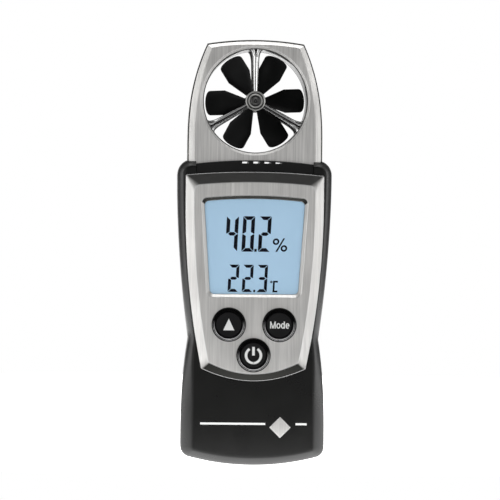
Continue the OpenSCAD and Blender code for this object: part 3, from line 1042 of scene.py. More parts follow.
@dataclass(frozen=True)
class WindowOutline:
    """The display opening from the front: wider at its top, which is bowed."""

    top: Point = (14.8, 78.5)
    low: Point = (13.1, 51.0)
    apex_z: float = 79.2
    corner_r: float = 1.3

    def ring(self, grow: float) -> list[Point]:
        """Outline grown by grow.

        Args:
            grow: how far it lies outside the opening.

        Returns:
            The closed outline.
        """
        x0, z0 = self.low[0] + grow, self.low[1] - grow
        r = self.corner_r + grow / 2
        half = [(x, z0) for x in steps(0, x0 - r, 6)[:-1]]
        half += arc((x0 - r, z0 + r), r, -90, 0, 7)
        half += arc((self.top[0] + grow - r, self.top[1] + grow - r), r, 0, 86, 7)
        x1, z1 = half[-1]
        apex = self.apex_z + grow
        half += [(x, z1 + (apex - z1) * (1 - (x / x1) ** 2)) for x in steps(x1, 0, 10, 1)]
        return whole(half)


@dataclass(frozen=True)
class Arch:
    """The neck's shallow arch, where the housing meets the head."""

    half: float
    top: float
    radius: float = 139.0

    def closed_at(self, z: float) -> list[Point]:
        """Outline between the arch and a straight line at height z."""
        bow = [(x, self.top - x ** 2 / (2 * self.radius)) for x in steps(-self.half, self.half, 48)]
        return [*bow, (self.half, z), (-self.half, z)]


BODY = BodyOutline()
HEAD = HeadOutline()
PANEL = PanelOutline()
WINDOW = WindowOutline()


# ---------------------------------------------------------------- solids, in millimetres

Ring = tuple[float, Sequence[Point]]


def skin(work: bmesh.types.BMesh, rings: Sequence[Ring],
         capped: bool = True) -> list[list[bmesh.types.BMVert]]:
    """Joins outlines of equal length, from front to back, by strips of faces.

    Args:
        work: the bmesh to add to.
        rings: outlines as (y, points).
        capped: whether both ends are closed.

    Returns:
        The corners, ring by ring.
    """
    rows = [[work.verts.new((x, y, z)) for x, z in outline] for y, outline in rings]
    count = len(rows[0])
    for low, high in zip(rows, rows[1:]):
        for i in range(count):
            k = (i + 1) % count
            work.faces.new((low[i], low[k], high[k], high[i]))
    if capped:
        work.faces.new(list(reversed(rows[0])))
        work.faces.new(rows[-1])
    return rows


def loft(rings: Sequence[Ring]) -> bpy.types.Object:
    """Makes a closed solid through outlines, from front to back.

    Args:
        rings: outlines as (y, points).

    Returns:
        The solid.
    """
    work = bmesh.new()
    skin(work, rings)
    return from_bmesh("loft", work)


def slab(outline: Sequence[Point], y0: float, y1: float) -> bpy.types.Object:
    """Makes a flat solid of one outline."""
    return loft(((y0, outline), (y1, outline)))


def block(low: Place, high: Place) -> bpy.types.Object:
    """Makes a box from two opposite corners."""
    corners = ((low[0], low[2]), (high[0], low[2]), (high[0], high[2]), (low[0], high[2]))
    return slab(corners, low[1], high[1])


def turned(profile: Sequence[Point], centre: Point, sides: int = 96) -> bpy.types.Object:
    """Makes a solid turned about Y, from points as (radius, y)."""
    return from_bmesh("turned", lathe(profile, Vector((centre[0], 0, centre[1])), Facing.BACK, sides))


def carved(base: bpy.types.Object, cutters: Sequence[bpy.types.Object]) -> bmesh.types.BMesh:
    """Cuts solids from a solid, and gives the result in metres.

    Args:
        base: the solid in millimetres, which is used up.
        cutters: what is taken away, which are used up too.

    Returns:
        The cut shape.
    """
    for cutter in cutters:
        cut = base.modifiers.new("cut", "BOOLEAN")
        cut.operation = "DIFFERENCE"
        cut.solver = "EXACT"
        cut.object = cutter
    mesh = evaluated(base)
    for used in (base, *cutters):
        bpy.data.objects.remove(used)
    work = bmesh.new()
    work.from_mesh(mesh)
    to_metres(work)
    bmesh.ops.remove_doubles(work, verts=work.verts, dist=WELD)
    return work


def rounded(work: bmesh.types.BMesh, name: str, width: float, segments: int = 3,
            limit: float = 24.0) -> bpy.types.Object:
    """Rounds the sharp edges of a shape and marks them, as an object with even shading.

    Args:
        work: the shape in metres, which is freed.
        name: the object's name.
        width: width of the rounded edges in metres.
        segments: faces across a rounded edge.
        limit: edges sharper than this many degrees are rounded.

    Returns:
        The new object.
    """
    mark = work.faces.layers.float.new(EDGE_WEAR_AND_PAINTED_LIGHT)
    sharp = [e for e in work.edges if e.is_manifold and e.calc_face_angle(0) > math.radians(limit)]
    edges = bmesh.ops.bevel(work, geom=sharp, offset=width, offset_type="OFFSET", segments=segments,
                            profile=0.5, affect="EDGES", clamp_overlap=True)
    # The mark gives these faces edge wear on moulded and turned finishes and a painted highlight on brushed
    # metal
    for face in edges["faces"]:
        face[mark] = 1.0
    return even_shading(ended(name, work, 50))


def refined(node: str, width: float, segments: int = 3) -> bpy.types.Object:
    """Copies a frame node, joins its triangles into faces and rounds its edges.

    Args:
        node: the frame node to copy.
        width: width of the rounded edges in millimetres.
        segments: faces across a rounded edge.

    Returns:
        The new object.
    """
    work = bmesh.new()
    work.from_mesh(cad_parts[node].data)
    bmesh.ops.remove_doubles(work, verts=work.verts, dist=WELD)
    bmesh.ops.dissolve_limit(work, angle_limit=math.radians(0.8), verts=work.verts, edges=work.edges,
                             delimit=set())
    return rounded(work, node + "_finished", width * MM, segments)


# ---------------------------------------------------------------- palette


class Palette:
    """Every finish of the meter, built once."""

    def __init__(self) -> None:
        """Builds the finishes."""
        low, high = corners("lcd_glass")
        centre = (low + high) / 2
        reach = (high - low) / 2
        self.shell = Moulded("black_shell", (0.0035, 0.0036, 0.0033), roughness=0.29, fineness=5200,
                             depth=5e-6, rub=0.1, gloss=0.3).build()
        self.cover = Moulded("black_cover", (0.007, 0.0072, 0.007), roughness=0.42, fineness=4200,
                             depth=8e-6, rub=0.3, gloss=0.25).build()
        self.collar = Moulded("black_collar", (0.006, 0.006, 0.0058), roughness=0.3, rub=0.3,
                              gloss=0.25).build()
        # The brushed finishes carry painted shade on their up- and down-facing slopes, and painted highlights
        # and painted shade lines where their pieces mark faces
        self.panel = Brushed("brushed_panel", (0.82, 0.81, 0.79), (0.13, 0.13, 0.126), edge=0.4,
                             contrast=1.1, slope_low=0.05, slope_high=0.2,
                             painted_underside_shade=(0.032, 0.032, 0.03)).build()
        self.head = Brushed("brushed_head", (0.82, 0.81, 0.79), (0.3, 0.3, 0.295), contrast=1.5,
                            dark_above=NOWHERE, slope_low=0.3, slope_high=0.6).build()
        self.duct = Brushed("duct_wall", (0.2, 0.2, 0.195), (0.08, 0.08, 0.08), roughness=0.3,
                            dark_above=NOWHERE, slope_low=0.9, slope_high=0.99).build()
        self.spider = Brushed("satin_spokes", (0.95, 0.95, 0.94), (0.015, 0.015, 0.015), roughness=0.22,
                              contrast=0.25, depth=1e-6, dark_above=0.0, slope_low=0.02,
                              slope_high=0.12).build()
        self.turned = Brushed("turned_metal", (0.6, 0.6, 0.58), (0.2, 0.2, 0.2), roughness=0.3, contrast=0.3,
                              dark_above=NOWHERE, slope_low=0.97, slope_high=0.99,
                              painted_shade_line=(0.1, 0.1, 0.098)).build()
        self.steel = Turned("plated_steel", (0.6, 0.6, 0.58), roughness=0.25, rings=4000).build()
        self.plate = Brushed("plate_metal", (0.85, 0.84, 0.82), (0.3, 0.3, 0.3), roughness=0.32, lines=5000.0,
                             contrast=0.5, dark_above=NOWHERE).build()
        self.screw = Turned("blackened_screw", (0.09, 0.09, 0.095), roughness=0.32, rings=5000).build()
        self.vane = Moulded("black_vane", (0.005, 0.0052, 0.0054), roughness=0.38, fineness=7000,
                            depth=3e-6, rub=0.15, gloss=0.4).build()
        self.ring = Moulded("gloss_ring", (0.003, 0.003, 0.0033), roughness=0.2, depth=5e-7, rub=0.0,
                            film=0.3, gloss=0.22).build()
        # The beads' colour is all painted light: a painted highlight on their lower half and painted shade on
        # their upper half
        self.bead = Brushed("bead_painted_glint", (0.5, 0.5, 0.5), (0.006, 0.006, 0.006), roughness=0.3,
                            contrast=0.1, edge=1.0, depth=1e-8, dark_above=NOWHERE,
                            slope_low=0.97, slope_high=0.99, dark_below=False,
                            painted_shade_line=(0.004, 0.004, 0.004)).build()
        self.key = Moulded("key_rubber", (0.004, 0.004, 0.0044), roughness=0.36, fineness=8000,
                           depth=3e-6, rub=0.1, gloss=0.25).build()
        self.white = Ink("white_ink", (0.86, 0.87, 0.86)).build()
        self.segment = Ink("display_segment", (0.003, 0.004, 0.012), roughness=0.5, gloss=0.0).build()
        self.lcd = Lit("lit_display", (0.355, 0.515, 0.65), (0.34, 0.5, 0.63), 0.62,
                       (centre.x, centre.z), (reach.x, reach.z)).build()
        self.clear = Clear("clear_window", (0.97, 0.98, 1.0)).build()
        self.gasket = Moulded("foam_gasket", (0.012, 0.012, 0.012), roughness=0.85, fineness=3000,
                              depth=2e-5, rub=0.0).build()
        self.milky = Moulded("milky_guide", (0.75, 0.76, 0.74), roughness=0.35, depth=2e-6, rub=0.0).build()
        self.mat = Moulded("rubber_mat", (0.2, 0.2, 0.215), roughness=0.6, depth=5e-6, rub=0.1).build()
        self.board = Moulded("board_lacquer", (0.012, 0.11, 0.045), roughness=0.3, fineness=2500,
                             depth=6e-6, rub=0.3, rub_colour=(0.3, 0.28, 0.12), coat=0.4).build()
        self.chip = Moulded("chip_resin", (0.014, 0.014, 0.015), roughness=0.5, depth=3e-6).build()
        self.tray = Moulded("tray_plastic", (0.02, 0.02, 0.021), roughness=0.5).build()
        self.socket = Moulded("socket_plastic", (0.6, 0.56, 0.46), roughness=0.4, rub=0.1).build()
        self.ceramic = Moulded("sensor_ceramic", (0.7, 0.7, 0.67), roughness=0.5, rub=0.0).build()
        self.zebra = Striped("zebra_layers", (0.25, 0.08, 0.08), (0.02, 0.02, 0.02), "X", 9000).build()
        self.coil = Striped("coil_wire", (0.55, 0.24, 0.08), (0.2, 0.08, 0.03), "X", 6000, 0.3, 1.0).build()
        self.film = Striped("ribbon_film", (0.5, 0.22, 0.03), (0.62, 0.36, 0.1), "Y", 2500, 0.3).build()
        self.cell = Striped("cell_jacket", (0.03, 0.09, 0.075), (0.02, 0.06, 0.05), "Z", 90, 0.3, 0.6).build()
        self.jewel = Moulded("jewel_bush", (0.35, 0.02, 0.05), roughness=0.12, depth=5e-7, rub=0.0,
                             coat=1.0).build()


# ---------------------------------------------------------------- sub-assemblies


@dataclass
class Housing:
    """The two shells, the silver panel, the collar and the battery cover; sizes in millimetres."""

    face_y: float = -11.0
    insets: tuple[float, float, float, float] = (2.3, 3.6, 2.5, 2.2)
    curve: tuple[Point, ...] = (
        (0.0, 1.3), (0.0, 1.06), (0.04, 0.97), (0.14, 0.88), (0.32, 0.79), (0.6, 0.69), (1.0, 0.575),
        (1.5, 0.45), (2.0, 0.335), (2.5, 0.23), (3.0, 0.14), (3.5, 0.07), (4.0, 0.02), (4.5, 0.0))
    bevel_depth: float = 4.5
    straight: float = 0.65
    seam: float = 0.14
    wall: float = 1.8
    hollow_y: tuple[float, float] = (-9.4, -6.8)
    hollow_insets: tuple[float, float, float, float] = (3.4, 4.6, 3.4, 3.4)
    neck: Arch = Arch(17.5, 87.4)
    head_bay: tuple[Place, Place] = ((-20.25, -8.65, 86.6), (20.25, 2.0, 97.0))
    display_bay: tuple[Place, Place] = ((-15.9, -11.0, 50.1), (15.9, -9.0, 80.1))
    panel_y: tuple[float, float] = (-11.8, -10.6)
    panel_slope: tuple[Point, ...] = (
        (-11.8, 2.78), (-11.79, 2.66), (-11.75, 2.48), (-11.12, 0.24), (-11.1, 0.17), (-11.04, 0.1),
        (-10.9, 0.06), (-10.6, 0.06))
    window_slope: tuple[Point, ...] = (
        (-11.8, 1.16), (-11.785, 1.06), (-11.73, 0.94), (-11.15, 0.16), (-11.04, 0.04), (-10.9, 0.0),
        (-10.6, 0.0))
    key_places: tuple[Point, ...] = ((-7.4, 41.9), (7.6, 41.9), (0.0, 32.9))
    key_hole_r: float = 4.75
    key_bore_r: float = 4.1
    line_z: float = 12.5
    line_half: float = 0.31
    ink: float = 0.02
    lines: tuple[Point, ...] = ((-15.6, 3.7), (12.7, 16.0))

    def build(self, finish: Palette) -> None:
        """Makes and dresses the housing's pieces.

        Args:
            finish: the finishes to use.
        """
        settle(self.front(), Body.HOUSING, finish.shell, "black_plastic", ("front_shell",))
        settle(refined("rear_shell", 0.35), Body.HOUSING, finish.shell, "black_plastic", ("rear_shell",))
        settle(self.panel(), Body.HOUSING, finish.panel, "brushed_silver", ("front_panel",))
        for node, width, body, material, slot in (
                ("neck_collar", 0.12, Body.HOUSING, finish.collar, "black_plastic"),
                ("mark_plate", 0.1, Body.HOUSING, finish.plate, "bright_inlay"),
                ("battery_cover", 0.2, Body.COVER, finish.cover, "black_plastic")):
            settle(refined(node, width), body, material, slot, (node,))
        settle(self.printed_line(), Body.HOUSING, finish.white, "bright_inlay")

    def front(self) -> bpy.types.Object:
        """Makes the front shell: a soft bevel round its face, hollow behind, with bays for what it holds.

        Returns:
            The finished front shell.
        """
        upper, lower, foot, shoulder = self.insets
        rings = []
        for deep, share in self.curve:
            plain = self.straight * max(0.0, 1 - deep / self.bevel_depth) + (1 - self.straight) * share
            flat = plain if deep else share
            outline = BODY.ring(upper * share, lower * flat, foot * flat, shoulder * share)
            rings.append((self.face_y + deep, outline))
        rings += [(-self.seam, BODY.ring(0, 0, 0, 0)), (0.0, BODY.ring(*(self.seam,) * 4))]
        wall = BODY.ring(*(self.wall,) * 4)
        start, full = self.hollow_y
        cutters = [
            loft(((start, BODY.ring(*self.hollow_insets)), (full, wall), (1.0, wall))),
            slab(self.neck.closed_at(97), -14, 2),
            block(*self.head_bay),
            slab(PANEL.ring(-0.02, -0.02), -12, self.panel_y[1]),
            block(*self.display_bay),
        ]
        bore = ((0, -12), (self.key_bore_r, -12), (self.key_bore_r, -9), (0, -9))
        cutters += [turned(bore, place) for place in self.key_places]
        return rounded(carved(loft(rings), cutters), "front_shell_finished", 0.3 * MM, 3, 35)

    def panel(self) -> bpy.types.Object:
        """Makes the panel: a flat face with sloping edges, a window and three key holes.

        Returns:
            The finished panel.
        """
        work = bmesh.new()
        mark = work.faces.layers.float.new(EDGE_WEAR_AND_PAINTED_LIGHT)
        rims = [skin(work, [(y, PANEL.ring(inset, inset)) for y, inset in self.panel_slope], capped=False)[0],
                skin(work, [(y, WINDOW.ring(grow)) for y, grow in self.window_slope], capped=False)[0]]
        for place in self.key_places:
            hole = arc(place, self.key_hole_r, 0, 360, 64)[:-1]
            rims.append(skin(work, [(y, hole) for y in self.panel_y], capped=False)[0])
        edges = []
        for rim in rims:
            edges += [work.edges.get(ends) for ends in zip(rim, rim[1:] + rim[:1])]
        bmesh.ops.triangle_fill(work, use_beauty=True, use_dissolve=False, edges=edges)
        # Marks the narrow rounded faces at the foot and the crest of the slopes for painted highlight lines
        for face in work.faces:
            y = face.calc_center_median().y
            low_rim = -11.13 < y < -10.95
            high_rim = y < -11.74 and abs(face.normal.y) < 0.9999
            face[mark] = float(low_rim or high_rim)
        to_metres(work)
        return even_shading(from_bmesh("front_panel_finished", work, 50))

    def printed_line(self) -> bpy.types.Object:
        """Makes the white line on the lower face, with a gap for the lozenge.

        Returns:
            The printed line.
        """
        work = bmesh.new()
        low, high = self.line_z - self.line_half, self.line_z + self.line_half
        for x0, x1 in self.lines:
            outline = ((x0, low), (x1, low), (x1, high), (x0, high))
            prism(work, outline, self.face_y - self.ink, self.face_y + self.ink)
        to_metres(work)
        return from_bmesh("printed_line", work)


@dataclass(frozen=True)
class Reading:
    """One row of digits: each digit with its left side, their foot, size, bar width and point."""

    digits: tuple[tuple[str, float], ...]
    foot: float
    size: Point
    bar: float
    point: tuple[float, float, float]


@dataclass
class Display:
    """The window, the lit glass and its digits; sizes in millimetres."""

    slant: float = 0.048
    film: float = 0.02
    gap: float = 0.1
    humidity: Reading = Reading((("4", -8.7), ("0", -3.86), ("2", 1.03)), 63.55, (3.57, 10.5), 1.08,
                                (-0.02, 0.68, 0.85))
    warmth: Reading = Reading((("2", -7.86), ("2", -3.64), ("3", 0.62)), 51.57, (3.15, 8.1), 0.9,
                              (-0.2, 0.36, 0.68))
    percent_x: float = 5.3
    percent_size: Point = (4.45, 4.05)
    celsius_x: float = 5.5
    celsius_size: Point = (1.45, 3.4)

    BARS: ClassVar[dict[str, str]] = {"0": "abcdef", "2": "abged", "3": "abgcd", "4": "fgbc"}

    def build(self, finish: Palette) -> None:
        """Makes and dresses the display.

        Args:
            finish: the finishes to use.
        """
        window = refined("display_window", 0.08)
        settle(window, Body.HOUSING, finish.clear, "clear_window", ("display_window",))
        for node, material in (("lcd_glass", finish.lcd), ("display_gasket", finish.gasket),
                               ("backlight_guide", finish.milky), ("zebra_strips", finish.zebra)):
            dress(node, material)
        work = bmesh.new()
        for row in (self.humidity, self.warmth):
            for text, x in row.digits:
                self.digit(work, text, x, row)
            left, right, high = row.point
            self.bar(work, (left, row.foot), (right, row.foot + high), row.foot)
        self.percent(work, self.percent_x, self.humidity.foot, self.percent_size)
        self.celsius(work, self.celsius_x, self.warmth.foot, self.celsius_size)
        to_metres(work)
        settle(from_bmesh("display_digits", work), Body.HOUSING, finish.segment, "lcd")

    def bar(self, work: bmesh.types.BMesh, low: Point, high: Point, base: float) -> None:
        """Adds a slanted upright rectangle from two opposite corners."""
        self.shape(work, (low, (high[0], low[1]), high, (low[0], high[1])), base)

    def shape(self, work: bmesh.types.BMesh, points: Iterable[Point], base: float) -> None:
        """Adds a slanted flat shape just in front of the glass.

        Args:
            work: the bmesh to add to.
            points: its corners before the slant.
            base: the height that the slant starts from.
        """
        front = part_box("lcd_glass")[0][1] / MM
        slanted = [(x + (z - base) * self.slant, z) for x, z in points]
        prism(work, slanted, front - self.film, front + self.film)

    def digit(self, work: bmesh.types.BMesh, text: str, x: float, row: Reading) -> None:
        """Adds one seven-segment digit of mitred bars.

        Args:
            work: the bmesh to add to.
            text: the digit.
            x: its left side.
            row: the row that it stands in.
        """
        wide, high = row.size
        g, t, mid = self.gap, row.bar, high / 2
        half = t * 0.48
        bars = {
            "a": ((g, high), (wide - g, high), (wide - g - t, high - t), (g + t, high - t)),
            "d": ((g, 0), (wide - g, 0), (wide - g - t, t), (g + t, t)),
            "g": ((g + half, mid), (t + g, mid + half), (wide - t - g, mid + half), (wide - g - half, mid),
                  (wide - t - g, mid - half), (t + g, mid - half)),
            "f": ((0, high - g), (t, high - t - g), (t, mid + half + g), (half * 0.6, mid + g), (0, mid + g)),
            "b": ((wide, high - g), (wide, mid + g), (wide - half * 0.6, mid + g), (wide - t, mid + half + g),
                  (wide - t, high - t - g)),
            "e": ((0, g), (0, mid - g), (half * 0.6, mid - g), (t, mid - half - g), (t, t + g)),
            "c": ((wide, g), (wide - t, t + g), (wide - t, mid - half - g), (wide - half * 0.6, mid - g),
                  (wide, mid - g)),
        }
        for name in self.BARS[text]:
            self.shape(work, [(x + px, row.foot + pz) for px, pz in bars[name]], row.foot)

    def loop(self, work: bmesh.types.BMesh, centre: Point, radii: Point, base: float) -> None:
        """Adds a slanted ring, from its outer and inner radius.

        Args:
            work: the bmesh to add to.
            centre: its middle.
            radii: its outer and inner radius.
            base: the height that the slant starts from.
        """
        for i in range(16):
            a0, a1 = 22.5 * i, 22.5 * (i + 1)
            self.shape(work, arc(centre, radii[0], a0, a1, 1) + arc(centre, radii[1], a1, a0, 1), base)

    def percent(self, work: bmesh.types.BMesh, x: float, z: float, size: Point) -> None:
        """Adds a percent sign of two rings and a stroke.

        Args:
            work: the bmesh to add to.
            x: its left side.
            z: its foot.
            size: its width and height.
        """
        wide, high = size
        stroke = ((0.21, 0), (0.33, 0), (0.81, 1), (0.69, 1))
        self.shape(work, [(x + px * wide, z + pz * high) for px, pz in stroke], z)
        self.loop(work, (x + 0.22 * wide, z + 0.75 * high), (0.99, 0.45), z)
        self.loop(work, (x + 0.77 * wide, z + 0.26 * high), (0.99, 0.45), z)

    def celsius(self, work: bmesh.types.BMesh, x: float, z: float, size: Point) -> None:
        """Adds a degree sign and a C.

        Args:
            work: the bmesh to add to.
            x: the left side of the C.
            z: its foot.
            size: the width and height of the C.
        """
        wide, high = size
        for x0, z0, x1, z1 in ((0, 0, wide, 0.5), (0, 0, 0.55, high), (0, high - 0.5, wide, high)):
            self.bar(work, (x + x0, z + z0), (x + x1, z + z1), z)
        self.loop(work, (x - 0.5, z + high - 0.35), (0.36, 0.1), z)


class Symbol(Enum):
    """What is printed on a key."""

    TRIANGLE = "up"
    WORD = "mode"
    POWER = "power"


@dataclass
class Keys:
    """The three keys, their rings and their prints; sizes in millimetres."""

    hole_r: float = 4.2
    lip_r: float = 0.34
    lip_deep: float = 1.23
    groove: float = 0.32
    foot_in: float = 0.45
    edge_bead: Point = (0.3, 0.17)
    lip_bead: Point = (4.33, 0.1)
    painted_glint_from: float = 0.15
    painted_glint_gain: float = 2.4
    dish_r: float = 3.3
    dish: float = 0.16
    edge_r: float = 0.42
    edge_at: float = 3.5
    flange: tuple[float, float, float] = (4.7, 2.8, 0.7)
    stem_r: float = 1.2
    ink: tuple[float, float] = (0.01, 0.22)
    bodies: dict[Symbol, Body] = field(default_factory=lambda: {
        Symbol.TRIANGLE: Body.UP, Symbol.WORD: Body.MODE, Symbol.POWER: Body.POWER})

    def build(self, finish: Palette) -> None:
        """Makes and dresses the keys.

        Args:
            finish: the finishes to use.
        """
        prints = {Symbol.TRIANGLE: self.triangle(), Symbol.WORD: self.word(), Symbol.POWER: self.power()}
        for symbol, body in self.bodies.items():
            low, high = corners("key_" + symbol.value)
            centre = Vector(((low.x + high.x) / 2, low.y, (low.z + high.z) / 2))
            self.ring(finish, symbol.value, centre)
            cap = self.cap(symbol.value, centre, high.y)
            settle(cap, body, finish.key, "key_black", ("key_" + symbol.value,))
            work = bmesh.new()
            over, under = (size * MM for size in self.ink)
            for layer, outline in enumerate(prints[symbol]):
                placed = [(centre.x + x * MM, centre.z + z * MM) for x, z in outline]
                prism(work, placed, centre.y - over - layer * MERGE, centre.y + under)
            settle(from_bmesh("print_" + symbol.value, work), body, finish.white, "bright_inlay")
        dress("keypad_mat", finish.mat)

    def ring(self, finish: Palette, name: str, centre: Vector) -> None:
        """Makes the black ring round a key, with two thin beads that carry a painted highlight in their lower
        half and painted shade in their upper half.

        Args:
            finish: the finishes to use.
            name: the key's name.
            centre: the key's front centre.
        """
        node = "key_ring_" + name
        low, high = corners(node)
        deep = (high.y - low.y) / MM
        outer = (high.x - low.x) / 2 / MM
        back = Vector((centre.x, high.y, centre.z))
        foot = outer - self.foot_in
        profile = [(self.hole_r, 0.05), (foot, 0.05), (foot, self.lip_deep), (outer - 0.02, self.lip_deep)]
        profile += arc((outer - self.lip_r, deep - self.lip_r), self.lip_r, -8, 88, 8)
        profile += [(outer - 0.52, deep - self.groove), (4.5, deep - 0.3), (4.32, deep - 0.12),
                    (4.24, deep - 0.22), (self.hole_r, deep - 0.4), (self.hole_r, 0.05)]
        shape = lathe([(a * MM, b * MM) for a, b in profile], back, Facing.FRONT, 128)
        settle(from_bmesh("ring_" + name, shape, 40), Body.HOUSING, finish.ring, "gloss_black", (node,))
        edge_in, edge_thick = self.edge_bead
        for label, at, thick in (("edge_", outer - edge_in, edge_thick), ("lip_", *self.lip_bead)):
            circle = arc((at, deep - thick - 0.01), thick, 0, 360, 12)
            bead = lathe([(a * MM, b * MM) for a, b in circle], back, Facing.FRONT, 128)
            mark = bead.faces.layers.float.new(EDGE_WEAR_AND_PAINTED_LIGHT)
            # Painted highlight on the lower half of each bead, painted shade on its upper half
            for face in bead.faces:
                down = (back.z - face.calc_center_median().z) / (at * MM)
                face[mark] = max(-1.0, min(1.0, self.painted_glint_gain * (down - self.painted_glint_from)))
            settle(from_bmesh(label + name, bead, 60), Body.HOUSING, finish.bead, "gloss_black")

    def cap(self, name: str, centre: Vector, end: float) -> bpy.types.Object:
        """Makes a key with a dished face, a flange and a plunger.

        Args:
            name: the key's name.
            centre: its front centre.
            end: the back end of its plunger.

        Returns:
            The finished key.
        """
        depth = (end - centre.y) / MM
        flange_r, flange_back, flange_thick = self.flange
        flange = depth - flange_back
        profile = [(self.dish_r * t, depth - self.dish * (1 - t ** 2) - 0.02) for t in steps(0, 1, 10)]
        profile += reversed(arc((self.edge_at, depth - 0.44), self.edge_r, 0, 90, 6))
        profile += [(3.95, flange), (flange_r, flange), (flange_r, flange - flange_thick),
                    (self.stem_r, flange - flange_thick), (self.stem_r, 0), (0, 0)]
        shape = lathe([(a * MM, b * MM) for a, b in profile], Vector((centre.x, end, centre.z)), Facing.FRONT)
        return from_bmesh("cap_" + name, shape, 40)

    def band(self, centre: Point, radii: Point, stroke: float, turn: Point,
             count: int = 24) -> list[list[Point]]:
        """Pieces of an oval stroke.

        Args:
            centre: its middle.
            radii: its outer radii in X and Z.
            stroke: its width.
            turn: its first and last angle in degrees.
            count: number of pieces.

        Returns:
            Outlines of the pieces.
        """
        inner = (radii[0] - stroke, radii[1] - stroke * 0.85)
        angles = [math.radians(a) for a in steps(*turn, count)]
        pieces = []
        for pair in zip(angles, angles[1:]):
            sides = ((radii, pair), (inner, pair[::-1]))
            pieces.append([(centre[0] + rx * math.cos(a), centre[1] + rz * math.sin(a))
                           for (rx, rz), ends in sides for a in ends])
        return pieces

    def triangle(self) -> list[list[Point]]:
        """Outline of the upward triangle."""
        return [[(-1.65, -1.7), (1.65, -1.7), (0, 1.8)]]

    def power(self) -> list[list[Point]]:
        """Outlines of the power sign: an open ring and a bar."""
        bar = [(-0.4, -0.1), (0.4, -0.1), (0.4, 2.45), (-0.4, 2.45)]
        return [*self.band((0, -0.1), (2.6, 2.6), 0.8, (122, 418), 36), bar]

    def word(self) -> list[list[Point]]:
        """Outlines of the key's word, stroke by stroke.

        Returns:
            Outlines of the strokes.
        """
        low, cap, stem, thin = -1.05, 1.05, 0.36, 0.144
        left, right, inner = -2.85, -1.4, (-2.11, -1.74)
        middle = low + 0.8
        round_x, round_z, stroke = 0.64, 0.83, 0.37

        def box(x0: float, x1: float, z0: float = low, z1: float = cap) -> list[Point]:
            """Outline of an upright rectangle."""
            return [(x0, z0), (x1, z0), (x1, z1), (x0, z1)]

        letters = [box(left, left + stem), box(right, right + stem),
                   [(left + thin, cap), (left + stem, cap), (inner[1], low), (inner[0], low)],
                   [(right, cap), (right + 0.4 - thin, cap), (inner[1], low), (inner[0], low)]]
        letters += self.band((-0.18, middle), (0.68, round_z), stroke, (0, 360))
        letters += self.band((1.24, middle), (round_x, round_z), stroke, (0, 360))
        letters.append(box(1.5, 1.88))
        letters += self.band((2.72, middle), (round_x, round_z), stroke, (0, 315))
        letters.append(box(2.2, 3.3, middle - 0.14, middle + 0.14))
        return [[((x - 0.12) * 0.93, z) for x, z in outline] for outline in letters]


